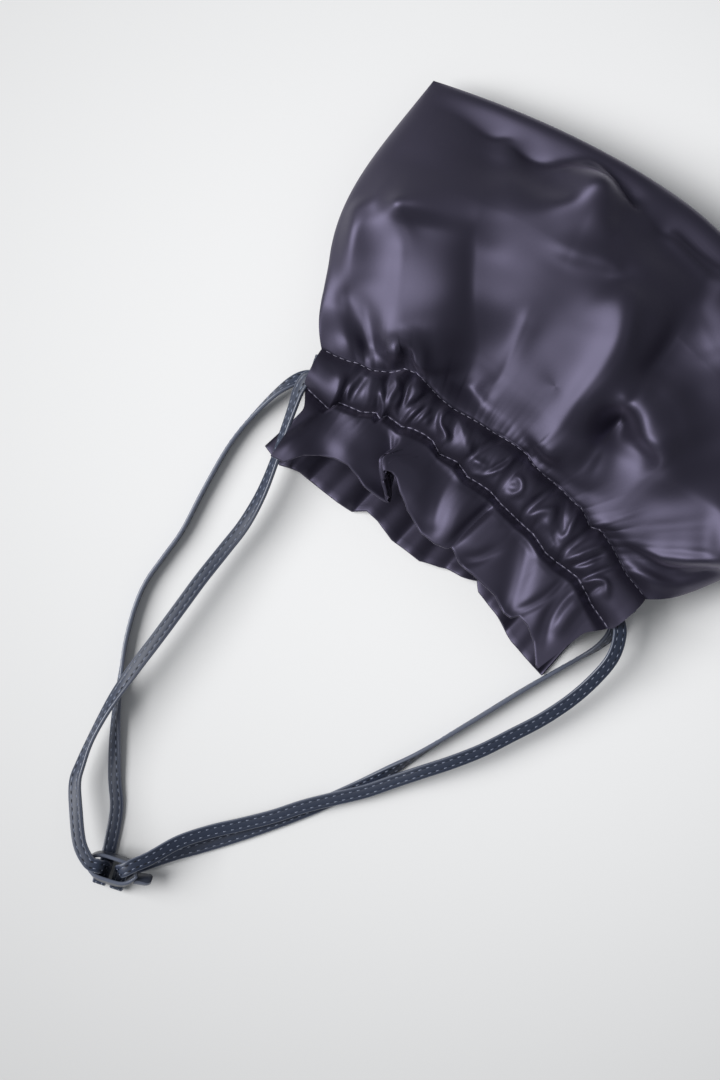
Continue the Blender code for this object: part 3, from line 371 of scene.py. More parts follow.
# Folds of the upper frill, in the same form
FRILL_FOLDS_MM = (
    ((-72.5, -66, 2, 2, 7), (-75.5, -79, 5, 2, 11), (-79.5, -92, 5.5, 2, 12)),
    ((-71.9, -70.2, 1, 4, 4), (-70.4, -84.4, 2, 5, 4), (-70.1, -92.9, 2, 5, 4)),
    ((-60.8, -65.7, -1, 8, 8), (-62.1, -77.7, -2, 9, 9), (-63.2, -85.2, -2, 8, 8)),
    ((-51.8, -58.5, 1, 6, 8), (-49.4, -73, 2, 7, 8), (-49.5, -79.7, 2, 6, 8)),
    ((-44.1, -52.3, -2, 2, 6), (-37.6, -65.2, -4, 2, 7), (-35.1, -75.2, -5, 2, 7),
     (-34.5, -80.8, -5, 2, 6)),
    ((-40.3, -53.7, 1.5, 6, 1.5), (-35.2, -68.2, 3, 7, 1.5), (-34.1, -71.7, 4, 7, 1.5)),
    ((-15.6, -61.3, 1, 8, 6), (-14.2, -71.1, 2, 8, 6), (-14.9, -77.1, 2, 6, 5)),
    ((-10.4, -50, -1.5, 3, 8), (-9.7, -65.9, -3, 4, 8), (-3.6, -79, -3, 4, 7)),
    ((-0.4, -55.6, 2, 5, 8), (-0, -66.3, 3, 5, 8), (4.6, -79, 2.5, 4, 7)),
    ((11.6, -51.5, -3, 1, 1.6), (10.1, -59.8, -3.5, 1, 1.6), (8.7, -69.3, -3, 1, 1.6),
     (7.8, -78.3, -2, 1, 1.4)),
    ((24.6, -52.6, -1.2, 1.2, 1.2), (20.1, -57.3, -1, 1.2, 1.2)),
    ((18, -54.6, 1, 6, 5), (16.6, -66.6, 1.5, 7, 6), (15.6, -75.7, 1.5, 6, 5)),
    ((24.6, -68.4, -1, 1.5, 2), (21.1, -75.6, -2, 1.5, 2), (16.1, -81.7, -2, 1.5, 2)),
    ((29.7, -53.4, -2, 3, 4), (32.5, -60.3, -3, 4, 6), (36.8, -67.9, -3.5, 4, 7),
     (41.6, -78.5, -3.5, 4, 6), (44.4, -86.4, -3, 3, 4)),
    ((43.3, -59, 1.5, 6, 5), (45.3, -68.3, 2, 7, 5), (47, -80.6, 1.5, 6, 4)),
    ((54.8, -56.2, -1.2, 1.2, 1.5), (53.7, -70.7, -1.4, 1.2, 1.5), (48.2, -84.2, -1.2, 1.2, 1.5)),
    ((56.6, -57.1, 1.5, 4, 4), (56.9, -71.1, 2, 4, 4), (59.7, -84.2, 2, 4, 4)),
    ((60.8, -56.8, -1.5, 2, 3), (59.2, -66.3, -2.5, 2, 3), (60.1, -76.5, -2.5, 2, 3),
     (63.7, -85.5, -2, 2, 3)),
    ((65.6, -59.4, 1.5, 2.5, 2), (64.4, -69.4, 2, 2.5, 2), (65.5, -78.6, 2, 2.5, 2)),
)
# The pleat where the upper frill laps over itself: places of its middle at the stitches and at the hem, its
# half width, how far the layers lap and how high the upper one stands
PLEAT_AT_ROW = -0.0403
PLEAT_AT_HEM = -0.0297
PLEAT_HALF_WIDTH = 0.005
PLEAT_LAP = 0.009
PLEAT_LIFT = 0.0042


def smooth(t):
    """Eases from 0 to 1 with a level start and end."""
    t = np.clip(t, 0.0, 1.0)
    return t * t * (3 - 2 * t)


def curve_point(before, start, end, after, t):
    """A point of the Catmull-Rom curve from start to end, where t runs from 0 to 1."""
    return 0.5 * (2 * start + (end - before) * t
                  + (2 * before - 5 * start + 4 * end - after) * t ** 2
                  + (3 * start - before - 3 * end + after) * t ** 3)


def folds(x, y, lines_mm, crest_mm=CREST_MM, reach_mm=BELL_REACH_MM):
    """Height added by folds. Each is a ridge, or a hollow where its height is minus, along a smooth line
    through its points: a row of overlapping bells, each with one width on the line's left side and
    another on its right. Together they are as high as the line says."""
    total = np.zeros_like(x)
    for line in lines_mm:
        knots = np.array(line, dtype=float)
        padded = np.concatenate((2 * knots[:1] - knots[1:2], knots, 2 * knots[-1:] - knots[-2:-1]))
        t = np.linspace(0, 1, BELLS, endpoint=False)[:, None]
        bells = [curve_point(*four, t) for four in zip(padded, padded[1:], padded[2:], padded[3:])]
        bells = np.concatenate(bells + [knots[-1:]])
        ahead = np.gradient(bells[:, :2], axis=0)
        step = np.hypot(ahead[:, 0], ahead[:, 1])
        ahead = ahead / step[:, None]
        reach = np.maximum(reach_mm, REACH_TO_WIDTH * bells[:, 3:].max(axis=1))
        for (bx, by, height, left, right), (ax, ay), apart, long in zip(bells, ahead, step, reach):
            from_x, from_y = x / MM - bx, y / MM - by
            along = from_x * ax + from_y * ay
            aside = ax * from_y - ay * from_x
            width = np.where(aside > 0, left, right)
            flank = (np.sqrt(aside ** 2 + crest_mm ** 2) - crest_mm) / (FLANK_TO_WIDTH * width)
            bell = np.exp(-(along / long) ** 2) / np.cosh(np.minimum(flank, FLAT_FLANK))
            total = total + height * MM * apart / (long * math.sqrt(math.pi)) * bell
    return total


def plan(u, v, hem_width, hem_line):
    """Place on the table plan: u from -1 to 1 across, v 0 at the hem, 1 and 2 at the stitches and 3 at the
    bottom seam. Rows bow towards the mouth at their ends; the frill runs out to its hem line."""
    rows = (1.0, 2.0, 3.0)
    middle_y = np.interp(v, rows, (LOWER_ROW_Y, UPPER_ROW_Y, BOTTOM_Y))
    bow = np.interp(v, rows, (LOWER_ROW_BOW, UPPER_ROW_BOW, BOTTOM_BOW))
    body = np.clip(v - 2, 0.0, 1.0)
    frill = np.clip(1 - v, 0.0, 1.0)
    half = np.interp(v, rows[:2], (CASING_WIDTH / 2, NECK_WIDTH / 2))
    half = half + (POUCH_WIDTH - NECK_WIDTH) / 2 * (1 - (1 - body) ** SIDE_POWER)
    across, reach = np.array(hem_line).T
    hem_x = u * hem_width / 2 - HEM_SHIFT
    hem_y = LOWER_ROW_Y - (FRILL_LENGTH + HEM_BOW) * np.interp(u, across, reach)
    row_y = middle_y - bow * np.abs(u) ** BOW_POWER
    return u * half * (1 - frill) + hem_x * frill, row_y * (1 - frill) + hem_y * frill


def seam_height(u, body):
    """Height of the seam line, carried inwards as the level that both panels swell from."""
    side = NECK_SEAM_HEIGHT + (SIDE_SEAM_HEIGHT - NECK_SEAM_HEIGHT) * smooth(body / 0.4)
    side = side - (SIDE_SEAM_HEIGHT - CORNER_HEIGHT) * smooth((body - 0.4) / 0.6)
    return side + (BOTTOM_SEAM_HEIGHT - CORNER_HEIGHT) * (1 - u * u) * smooth(body)


def side_fall(u, body):
    """1 on the middle line and 0 at the side seams; at the neck the cloth is level right across."""
    power = np.where(u > 0, RIGHT_FULLNESS, LEFT_FULLNESS)
    fall = np.clip(1 - np.abs(u) ** power, 0.0, 1.0) ** SIDE_ROUNDING
    level = 1 - smooth(body / 0.12)
    return level + (1 - level) * fall


def puckers(u, v):
    """Puffs between the creases that the drawn thread pinches: a rectified sine of an uneven phase, so
    each crease is sharp and each puff is round. Creases lean one way or the other between the rows."""
    lean = 0.020 * np.sin(7.0 * u + 1.0) * (v - 1.5) + 0.006 * np.sin(31 * u + 3.0 * v)
    phase = PLEATS * (u + lean) + 1.1 * np.sin(3.9 * u + 1) + 0.7 * np.sin(8.7 * u)
    broad = np.abs(np.sin(math.pi / 2 * phase)) ** 0.65
    fine_phase = 2.63 * phase + 0.8 * np.sin(5 * v + 9 * u)
    fine = np.abs(np.sin(math.pi / 2 * fine_phase)) ** 0.75
    strength = 0.75 + 0.25 * np.sin(5.3 * u + 0.4)
    return broad * strength * 0.8 + fine * 0.28


def stray(u, v):
    """How far the cloth is drawn towards the bottom seam beside the two stitched rows, which waver."""
    upper = np.interp(u, *np.array(UPPER_ROW_STRAYS_MM).T) * np.interp(v, (1, 2, 2.15), (0, 1, 0))
    lower = np.interp(u, *np.array(LOWER_ROW_STRAYS_MM).T) * np.interp(v, (0.5, 1, 2), (0, 1, 0))
    return (upper + lower) * MM


def pleat(x, frill):
    """A lapped pleat of the frill, as a shift across and a rise: beyond each side of its middle the cloth
    is drawn back over itself, so it runs right, then left underneath, then right again on top."""
    aside = (x - PLEAT_AT_ROW - (PLEAT_AT_HEM - PLEAT_AT_ROW) * frill) / PLEAT_HALF_WIDTH
    grown = smooth((frill - 0.1) / 0.6)
    lap = -PLEAT_LAP * aside * np.exp((1 - aside ** 2) / 2)
    rise = PLEAT_LIFT * smooth((aside + 1) / 2) * np.exp(-np.maximum(aside - 1, 0.0) / 2.5)
    return lap * grown, rise * grown


def tunnel_lift(v):
    """Height of the tunnel between its two layers: none at the stitches, full in the middle."""
    across = np.clip(np.abs(v - 1.5) * 2, 0.0, 1.0)
    return TUNNEL_HEIGHT * (1 - across ** 3) ** 0.8


def body_height(u, body, side):
    """Height of the smooth body without folds: side 1 swells up to the crown, -1 sags on the table."""
    level = seam_height(u, body)
    middle_level = seam_height(0 * u, body)
    swell = side_fall(u, body)
    past = np.clip((body - CROWN_PLACE) / (1 - CROWN_PLACE), 0.0, 1.0)
    if side > 0:
        short = np.clip(1 - body / CROWN_PLACE, 0.0, 1.0)
        rise = FRONT_ROW_HEIGHT + (PUFF_HEIGHT - FRONT_ROW_HEIGHT) * (1 - short ** RISE_POWER)
        rounded = np.clip(1 - past ** CROWN_FALL, 0.0, 1.0) ** SIDE_ROUNDING
        fall = middle_level + (PUFF_HEIGHT - middle_level) * rounded
        crown = np.where(body < CROWN_PLACE, rise, fall)
        return level * (1 - swell) + (crown + level - middle_level) * swell
    start = 1 - BACK_ROW_HEIGHT / NECK_SEAM_HEIGHT
    sag = np.where(body < CROWN_PLACE, start + (SAG - start) * smooth(body / 0.25),
                   SAG * (1 - past ** SAG_POWER) ** SIDE_ROUNDING)
    return level * (1 - np.clip(sag * swell, 0.0, 1.0))


def grid_normals(points):
    """Unit normals of a grid of points, from the differences along both directions."""
    normal = np.cross(np.gradient(points, axis=1), np.gradient(points, axis=0))
    return normal / np.maximum(np.linalg.norm(normal, axis=-1, keepdims=True), 1e-12)


def outer_skin(u, v, side, hem):
    """The cloth as it is seen: the smooth shape, and on it, along its normal, the tunnel's height, the
    folds and the puckers. Creases of the casing fade into the body and the frill, and the casing's ends
    stand out past the turns of the straps."""
    x, y = plan(u, v, *hem)
    y = y + stray(u, v)
    at_ends = smooth((np.abs(u) - 0.9) / 0.1) * smooth((v - 0.7) / 0.4) * smooth((2.25 - v) / 0.25)
    x = x + np.sign(u) * TUNNEL_END * at_ends
    body = np.clip(v - 2, 0.0, 1.0)
    frill = np.clip(1 - v, 0.0, 1.0)
    casing = np.clip(v - 1, 0.0, 1.0)
    edge = smooth((1 - np.abs(u)) / 0.10) * smooth((1 - body) / 0.10)
    pucker = puckers(u, v)
    if side > 0:
        z = np.where(v > 2, body_height(u, body, side), FRONT_ROW_HEIGHT)
        base = np.stack((x, y, z), axis=-1)
        normal = grid_normals(base)
        normal = np.where((v <= 2)[..., None], np.array((0.0, 0.0, 1.0)), normal * np.sign(normal[..., 2:]))
        pressed = folds(x, y, CASING_FOLDS_MM, CASING_CREST_MM, CASING_REACH_MM)
        pressed = np.maximum(pressed, -CREASE_LIMIT * np.tanh(-np.minimum(pressed, 0.0) / CREASE_LIMIT))
        on_body = (BODY_PUCKER * smooth(body / 0.02) * np.exp(-body / 0.05) * pucker
                   + pressed * np.exp(-(body / 0.03) ** 2)
                   + folds(x, y, BODY_FOLDS_MM) * smooth(body / 0.06)) * edge
        on_casing = (tunnel_lift(v) + pressed
                     + (CASING_PUFF + CASING_PUCKER * pucker) * np.sin(math.pi * casing))
        puff = FRILL_LIFT * smooth(frill / 0.15)
        on_frill = (pressed * np.exp(-(frill / 0.12) ** 2) + puff
                    + FRILL_PUCKER * pucker * smooth(frill / 0.05) * np.exp(-frill / 0.2)
                    + folds(x, y, FRILL_FOLDS_MM) * smooth(frill / 0.25))
        lift = np.where(v > 2, on_body, np.where(v >= 1, on_casing, on_frill))
        skin = base + normal * lift[..., None]
        lap, rise = pleat(x, frill)
        return skin + np.stack((lap, 0 * lap, rise), axis=-1)
    z = np.where(v > 2, body_height(u, body, side), BACK_ROW_HEIGHT)
    on_body = BACK_PUCKER * (0.3 + 0.7 * smooth(body / 0.02)) * np.exp(-body / 0.08) * pucker * edge
    on_casing = tunnel_lift(v) + BACK_PUCKER * (0.3 + 0.7 * np.sin(math.pi * casing)) * (pucker - 0.15)
    on_frill = BACK_ROW_HEIGHT - BACK_FRILL_LIFT
    waves = 0.5 + 0.3 * np.sin(23 * u + 1.0) + 0.2 * np.sin(41 * u + 2.0)
    on_frill = on_frill * smooth(frill / 0.6) - BACK_FRILL_WAVE * frill * waves
    lift = np.where(v > 2, on_body, np.where(v >= 1, on_casing, on_frill))
    return np.stack((x, y, np.maximum(z - lift, LOWEST_CLOTH)), axis=-1)


def sheet_rows(side, hem):
    """The whole sheet as rows of points: body, casing and frill on the outside, a round turn at the hem,
    then the facing back to the upper stitches on the inside."""
    outside_v = np.concatenate((3 - np.linspace(0, 1, BODY_ROWS), 2 - np.linspace(0, 1, CASING_ROWS)[1:],
                                1 - np.linspace(0, 1, FRILL_ROWS)[1:]))
    u = np.linspace(-1, 1, COLUMNS + 1)
    grid_u, grid_v = np.meshgrid(u, outside_v)
    outside = outer_skin(grid_u, grid_v, side, hem)
    edge = outside[-1]
    out_way = edge - outside[-3]
    out_way = out_way / np.linalg.norm(out_way, axis=-1, keepdims=True)
    inwards = grid_normals(outside[-4:])[-1]
    inwards = inwards * np.sign(-side * inwards[:, 2:3])
    turn = [edge + HEM_RADIUS * (out_way * math.sin(angle) + inwards * (1 - math.cos(angle)))
            for angle in np.linspace(0, math.pi, HEM_ROWS)[1:]]
    facing_v = np.concatenate((np.linspace(0, 1, INSIDE_FRILL_ROWS)[1:],
                               np.linspace(1, 2, INSIDE_CASING_ROWS)[1:]))
    throat = THROAT_CEILING if side > 0 else THROAT_FLOOR
    inside = []
    for v in facing_v:
        if v <= 1:
            row = int(round((len(outside_v) - 1) - v * (FRILL_ROWS - 1)))
            layer = outside[row] + inwards * 2 * HEM_RADIUS
            near_stitch = smooth((v - 0.6) / 0.4)
            layer[:, 2] = layer[:, 2] * (1 - near_stitch) + near_stitch * throat
        else:
            x, y = plan(u, np.full_like(u, v), *hem)
            layer = np.stack((x, y, np.full_like(u, throat)), axis=-1)
        inside.append(layer)
    return np.concatenate((outside, np.array(turn), np.array(inside)))


def quad_mesh(name, points, quads, materials, slots=None):
    """A smooth mesh from arrays of points and quads, with an optional material slot for each quad."""
    mesh = bpy.data.meshes.new(name)
    mesh.vertices.add(len(points))
    mesh.vertices.foreach_set("co", points.reshape(-1).astype(np.float32))
    mesh.loops.add(quads.size)
    mesh.loops.foreach_set("vertex_index", quads.reshape(-1).astype(np.int32))
    mesh.polygons.add(len(quads))
    mesh.polygons.foreach_set("loop_start", (np.arange(len(quads)) * 4).astype(np.int32))
    mesh.update(calc_edges=True)
    mesh.polygons.foreach_set("use_smooth", np.ones(len(quads), dtype=bool))
    for material in materials:
        mesh.materials.append(material)
    if slots is not None:
        mesh.polygons.foreach_set("material_index", slots.astype(np.int32))
    mesh.validate()
    piece = bpy.data.objects.new(name, mesh)
    bpy.context.collection.objects.link(piece)
    return piece


def cloth_piece(name, side, hem):
    """A panel as one mesh through its rows of points, facing outwards, with a UV map in metres of cloth."""
    points = sheet_rows(side, hem)
    rows, columns = points.shape[:2]
    first = (np.arange(rows - 1)[:, None] * columns + np.arange(columns - 1)[None, :]).reshape(-1)
    quads = np.stack((first, first + columns, first + columns + 1, first + 1), axis=1)
    if side < 0:
        quads = quads[:, ::-1]
    piece = quad_mesh(name, points.reshape(-1, 3), quads, [satin])
    lengths = np.linalg.norm(np.diff(points, axis=1), axis=-1).cumsum(1)
    across = np.concatenate((np.zeros((rows, 1)), lengths), 1)
    across = across - across[:, columns // 2][:, None]
    depths = np.linalg.norm(np.diff(points, axis=0), axis=-1).cumsum(0)
    along = np.concatenate((np.zeros((1, columns)), depths))
    uv = np.stack((across, along), axis=-1).reshape(-1, 2)[quads.reshape(-1)]
    layer = piece.data.uv_layers.new(name="cloth")
    layer.data.foreach_set("uv", uv.reshape(-1).astype(np.float32))
    return piece


# Polyester satin, woven with long floats: nearly black where it turns away, and a soft mauve-grey
# gleam where it faces the light. The warp is drawn coarser than it is, so that it shows. A wave texture of
# scale 1 repeats every WAVE_PITCH units
SATIN_DARK = "#1b1a22"
SATIN_WARM = "#1f1d26"
THREAD_MM = 0.35
WAVE_PITCH = 0.314
satin, satin_shader = new_material("woven_polyester_satin")
satin_shader.inputs["Roughness"].default_value = 0.5
satin_shader.inputs["Specular IOR Level"].default_value = 1.0
satin_shader.inputs["Specular Tint"].default_value = linear("#dcd4ff")
satin_shader.inputs["Sheen Weight"].default_value = 0.15
satin_shader.inputs["Sheen Roughness"].default_value = 0.45
satin_shader.inputs["Sheen Tint"].default_value = linear("#b9aed0")
satin_shader.inputs["Anisotropic"].default_value = 0.45
cloth_place = node(satin, "ShaderNodeTexCoord")
cloud = node(satin, "ShaderNodeTexNoise", {"Scale": 35.0, "Detail": 3.0},
             {"Vector": cloth_place.outputs["Object"]})
tone = node(satin, "ShaderNodeMix", {"data_type": "RGBA", 6: linear(SATIN_DARK), 7: linear(SATIN_WARM)},
            {0: cloud.outputs["Fac"]})
satin.node_tree.links.new(tone.outputs[2], satin_shader.inputs["Base Color"])
warp = node(satin, "ShaderNodeTexWave",
            {"wave_type": "BANDS", "bands_direction": "X", "Scale": WAVE_PITCH / (THREAD_MM * MM),
             "Distortion": 0.6, "Detail": 1.0}, {"Vector": cloth_place.outputs["UV"]})
weave = node(satin, "ShaderNodeBump", {"Strength": 0.05, "Distance": 0.0001},
             {"Height": warp.outputs["Fac"]})
slub = node(satin, "ShaderNodeTexNoise", {"Scale": 900.0, "Detail": 2.0},
            {"Vector": cloth_place.outputs["Object"]})
grain = node(satin, "ShaderNodeBump", {"Strength": 0.06, "Distance": 0.0002},
             {"Height": slub.outputs["Fac"], "Normal": weave.outputs["Normal"]})
satin.node_tree.links.new(grain.outputs["Normal"], satin_shader.inputs["Normal"])

upper_panel = cloth_piece("satin_front_panel", 1, (UPPER_HEM_WIDTH, UPPER_HEM))
lower_panel = cloth_piece("satin_back_panel", -1, (LOWER_HEM_WIDTH, LOWER_HEM))
for panel, replaced in ((upper_panel, "front_panel"), (lower_panel, "back_panel")):
    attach(panel, "root")
    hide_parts(replaced)


# Stitching thread
# Two rows of polyester sewing thread in each panel, which close its casing over the drawstrings. They
# were sewn while the cloth was flat, so they waver with the gathers, each stitch in a crease.
THREAD_WIDTH = 0.0005
THREAD_RISE = 0.0003
THREAD_SEAT = 0.00025
CASING_STITCH = 0.0023
CASING_PITCH = 0.0032
# A row is followed on the cloth from one end to the other, with a second one close by for the normals
ROW_END = 0.985
ROW_POINTS = 400
ROW_STEP = 0.001


def stitch_mesh(name, places, along, across, out, length, width, rise, material):
    """One mesh of many stitches: each is a thread strip, full in the middle, that dives at both ends."""
    ends = np.array((-1.0, -0.7, 0.0, 0.7, 1.0)) * length / 2
    breadth = np.array((0.35, 0.95, 1.0, 0.95, 0.35)) * width / 2
    height = np.array((-0.6, 0.75, 1.0, 0.75, -0.6)) * rise
    sides = np.array((-1.0, -0.6, 0.0, 0.6, 1.0))
    arch = np.array((-0.4, 0.75, 1.0, 0.75, -0.4))
    ahead = np.repeat(ends, 5)
    aside = (breadth[:, None] * sides[None, :]).reshape(-1)
    above = (np.minimum(height[:, None], height[:, None] * arch[None, :])).reshape(-1)
    points = (places[:, None, :] + along[:, None, :] * ahead[None, :, None]
              + across[:, None, :] * aside[None, :, None] + out[:, None, :] * above[None, :, None])
    corner = (np.arange(4)[:, None] * 5 + np.arange(4)[None, :]).reshape(-1)
    quads = np.stack((corner, corner + 5, corner + 6, corner + 1), axis=1)
    quads = (quads[None] + (np.arange(len(places)) * 25)[:, None, None]).reshape(-1, 4)
    return quad_mesh(name, points.reshape(-1, 3), quads, [material])


def distance_along(line):
    """Distance along a line of points from its first point to each of them."""
    return np.concatenate(([0.0], np.linalg.norm(np.diff(line, axis=0), axis=1).cumsum()))


def along_rows(lines, pitch):
    """Points every pitch along each line of points, with the line's direction there."""
    places, ways = [], []
    for line in lines:
        length = distance_along(line)
        at = np.arange(pitch / 2, length[-1], pitch)
        spot = np.stack([np.interp(at, length, line[:, axis]) for axis in range(3)], axis=1)
        ahead = np.stack([np.interp(at + pitch / 4, length, line[:, axis]) for axis in range(3)], axis=1)
        way = ahead - spot
        places.append(spot)
        ways.append(way / np.maximum(np.linalg.norm(way, axis=1, keepdims=True), 1e-9))
    return np.concatenate(places), np.concatenate(ways)


cloth_thread, cloth_thread_shader = new_material("polyester_sewing_thread")
cloth_thread_shader.inputs["Base Color"].default_value = linear("#8b879b")
cloth_thread_shader.inputs["Roughness"].default_value = 0.5
for side, hem, name in ((1, (UPPER_HEM_WIDTH, UPPER_HEM), "front_casing_stitches"),
                        (-1, (LOWER_HEM_WIDTH, LOWER_HEM), "back_casing_stitches")):
    row_u = np.linspace(-ROW_END, ROW_END, ROW_POINTS)
    lines = [outer_skin(*np.meshgrid(row_u, (row_v - ROW_STEP, row_v)), side, hem)[1]
             for row_v in (1.0, 2.0)]
    spots, ways = along_rows(lines, CASING_PITCH)
    up = np.tile(np.array((0.0, 0.0, float(side))), (len(spots), 1))
    over = np.cross(up, ways)
    over = over / np.linalg.norm(over, axis=1, keepdims=True)
    up = np.cross(ways, over)
    stitches = stitch_mesh(name, spots + up * THREAD_SEAT, ways, over, up, CASING_STITCH, THREAD_WIDTH,
                           THREAD_RISE, cloth_thread)
    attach(stitches, "root")


# Drawstrings
# Two closed loops of navy leather strap, folded double and sewn with two lines of stitches, with painted
# edges. Each goes through both casings and comes out where it went in, then down to the slider.
STRAP_WIDTH = 0.006
STRAP_THICKNESS = 0.0018
# Where a strap runs: its gap to the cloth, its distance from the tunnel's middle line, its gap to the table,
# how far it stands off in its lane, and how far its turn stands out from the casing's end
STRAP_CLEARANCE = 0.00035
LANE = STRAP_WIDTH / 2 + 0.001
TABLE_GAP = 0.0001
LANE_REST = 0.0003
TURN_OUT = 0.002
SLIDER_CENTRE = (-0.0187, -0.2803)
SLIDER_TURN = math.radians(20.7)
# Points of the route in each tunnel and round the turn, and the curve's steps from one point to the next
TUNNEL_POINTS = 15
TURN_ANGLES = (90, 50, 15, -15, -50, -90)
STRAP_STEPS = 8
# Stitches, and needle holes drawn as flat dark patches of painted shade. GROOVE and PAINTED_FROM are shares
# of the strap's half thickness and half width
STITCH_LINE = 0.0013
STITCH_PITCH = 0.0036
STITCH_LENGTH = 0.0016
STITCH_WIDTH = 0.0005
STITCH_RISE = 0.00025
HOLE_SHADE_HALF_LENGTH = 0.0006
HOLE_SHADE_HALF_WIDTH = 0.0003
HOLE_SHADE_SEAT = 0.00003
GROOVE = 0.87
PAINTED_FROM = 0.89


def in_tunnel(u, lane, lift, side):
    """A point on a strap in a tunnel: lane is its distance from the tunnel's middle line, towards the
    body, and lift its distance from the tunnel's near face."""
    length = CASING_LENGTH - (UPPER_ROW_BOW - LOWER_ROW_BOW) * abs(u) ** BOW_POWER
    x, y = plan(np.array(float(u)), np.array(1.5 + lane / length), LOWER_HEM_WIDTH, LOWER_HEM)
    near = (THROAT_CEILING + CLOTH) if side > 0 else (THROAT_FLOOR - CLOTH)
    return np.array((float(x), float(y), near + side * lift))


def tunnel_pass(hand, side):
    """Points of a strap along one tunnel, from its own end (hand -1 is left) to the far end. The two
    straps swap lanes in the middle, where the left one passes over the right one."""
    points = []
    for u in np.linspace(-1, 1, TUNNEL_POINTS):
        lane = LANE * math.sin(math.pi / 2 * min(max(u / 0.5, -1), 1))
        crossing = float(smooth((0.47 - abs(u)) / 0.2))
        low = STRAP_CLEARANCE + STRAP_THICKNESS / 2
        high = low + STRAP_THICKNESS + 1.6 * STRAP_CLEARANCE
        lift = low + LANE_REST
        lift = lift + crossing * ((high if hand < 0 else low) - lift)
        points.append((in_tunnel(-hand * u, lane, lift, side), None, 0.0 if side > 0 else 180.0))
    return points if side > 0 else points[::-1]


def turn_round(hand):
    """Half circle of a strap round the far end of the casing, from the front tunnel to the back one."""
    lift = STRAP_CLEARANCE + STRAP_THICKNESS / 2 + LANE_REST
    top = in_tunnel(-hand, LANE, lift, 1)
    bottom = in_tunnel(-hand, LANE, lift, -1)
    before = in_tunnel(-hand * 0.98, LANE, lift, 1)
    out = (top - before) / np.linalg.norm(top - before)
    width = np.array((-out[1], out[0], 0.0)) * hand
    radius = (top[2] - bottom[2]) / 2
    middle = (top + bottom) / 2 + out * TURN_OUT
    points = []
    for angle in np.radians(TURN_ANGLES):
        point = middle + out * radius * math.cos(angle)
        point[2] = middle[2] + radius * math.sin(angle)
        points.append((point, width, None))
    return points


# Free strands, from the casing to the slider: x, y and height of the middle of the strap in millimetres,
# and its roll in degrees (0 or 180 lies flat, 90 stands on edge)
LEFT_LOWER_STRAND_MM = (
    (-84.6, -59.4, 7.8, 172), (-89.2, -64.6, 6.8, 145), (-92.6, -75.0, 5.4, 110),
    (-94.4, -90.0, None, 96), (-94.2, -106.0, None, 92), (-90.9, -127.0, None, 90),
    (-87.0, -147.0, None, 90), (-86.2, -161.0, None, 90), (-85.4, -174.3, None, 91),
    (-82.3, -186.1, None, 92), (-76.5, -199.5, None, 93), (-70.7, -209.8, None, 98),
    (-64.8, -219.6, None, 110), (-58.4, -229.5, None, 128), (-50.6, -240.2, None, 150),
    (-42.0, -251.0, None, 168), (-32.5, -261.9, None, 178),
)
LEFT_UPPER_STRAND_MM = (
    (-36.4, -279.4, 15.4, 4), (-46.8, -269.4, 13.6, 12), (-54.4, -260.8, 12.2, 30),
    (-57.6, -253.0, 11.6, 48), (-60.6, -243.0, 11.4, 64), (-63.0, -231.0, 11.6, 58),
    (-64.4, -219.7, 12.0, 40), (-65.2, -206.0, 12.6, 22), (-65.6, -190.0, 12.9, 14),
    (-66.2, -174.0, 12.7, 10), (-66.9, -158.0, 12.0, 10), (-67.0, -142.0, 11.0, 14),
    (-67.2, -128.0, 10.8, 26), (-69.6, -113.0, 11.4, 45), (-74.0, -98.0, 12.8, 58),
    (-78.4, -86.0, 14.4, 60), (-81.8, -76.0, 16.2, 54), (-84.6, -67.6, 18.0, 38),
    (-84.6, -61.0, 19.2, 14),
)
RIGHT_LOWER_STRAND_MM = (
    (84.6, -59.4, 7.8, 172), (87.6, -64.8, 6.8, 142), (86.6, -73.5, 5.4, 112), (83.0, -83.5, None, 97),
    (78.6, -94.5, None, 94), (72.8, -109.5, None, 92), (66.2, -128.0, None, 92), (59.6, -146.0, None, 96),
    (54.4, -160.5, None, 112), (50.0, -171.8, None, 140), (45.4, -183.0, None, 165),
    (39.8, -194.6, None, 178), (33.0, -207.6, None, 180), (24.6, -222.0, None, 180),
    (15.0, -237.2, None, 180), (5.6, -251.0, None, 180), (-2.6, -262.4, None, 180),
)
RIGHT_UPPER_STRAND_MM = (
    (-8.6, -266.0, 13.6, 4), (-3.0, -253.6, 8.4, 6), (5.0, -242.0, 5.2, 5), (13.8, -231.2, 3.8, 3),
    (22.2, -220.2, 3.4, 2), (29.9, -208.4, 3.4, 2), (38.2, -197.4, 3.6, 2), (46.8, -186.2, 4.2, 3),
    (54.0, -174.4, 5.6, 4), (60.2, -164.4, 7.4, 6), (67.9, -152.3, 8.6, 8), (74.9, -140.0, 9.0, 8),
    (80.9, -126.8, 9.2, 9), (86.9, -112.9, 9.8, 10), (91.4, -98.0, 11.0, 12), (93.4, -84.0, 13.2, 14),
    (93.0, -73.0, 15.8, 14), (89.4, -64.4, 18.2, 10), (85.0, -60.0, 19.2, 5),
)


def strand(points):
    """A strand's points in metres, each with its roll. A point with no height lies on the table."""
    entries = []
    for x, y, height, roll in points:
        turn = math.radians(roll)
        lying = STRAP_WIDTH / 2 * abs(math.sin(turn)) + STRAP_THICKNESS / 2 * abs(math.cos(turn)) + TABLE_GAP
        z = lying if height is None else height * MM
        entries.append((np.array((x * MM, y * MM, z)), None, float(roll)))
    return entries


def by_slider(e, n, z):
    """Points by the slider, from numbers or arrays in metres: e along it, n across it, away from the
    pouch, and z above the table."""
    x = SLIDER_CENTRE[0] + math.cos(SLIDER_TURN) * e + math.sin(SLIDER_TURN) * n
    y = SLIDER_CENTRE[1] + math.sin(SLIDER_TURN) * e - math.cos(SLIDER_TURN) * n
    return np.stack((x, y, z), axis=-1)


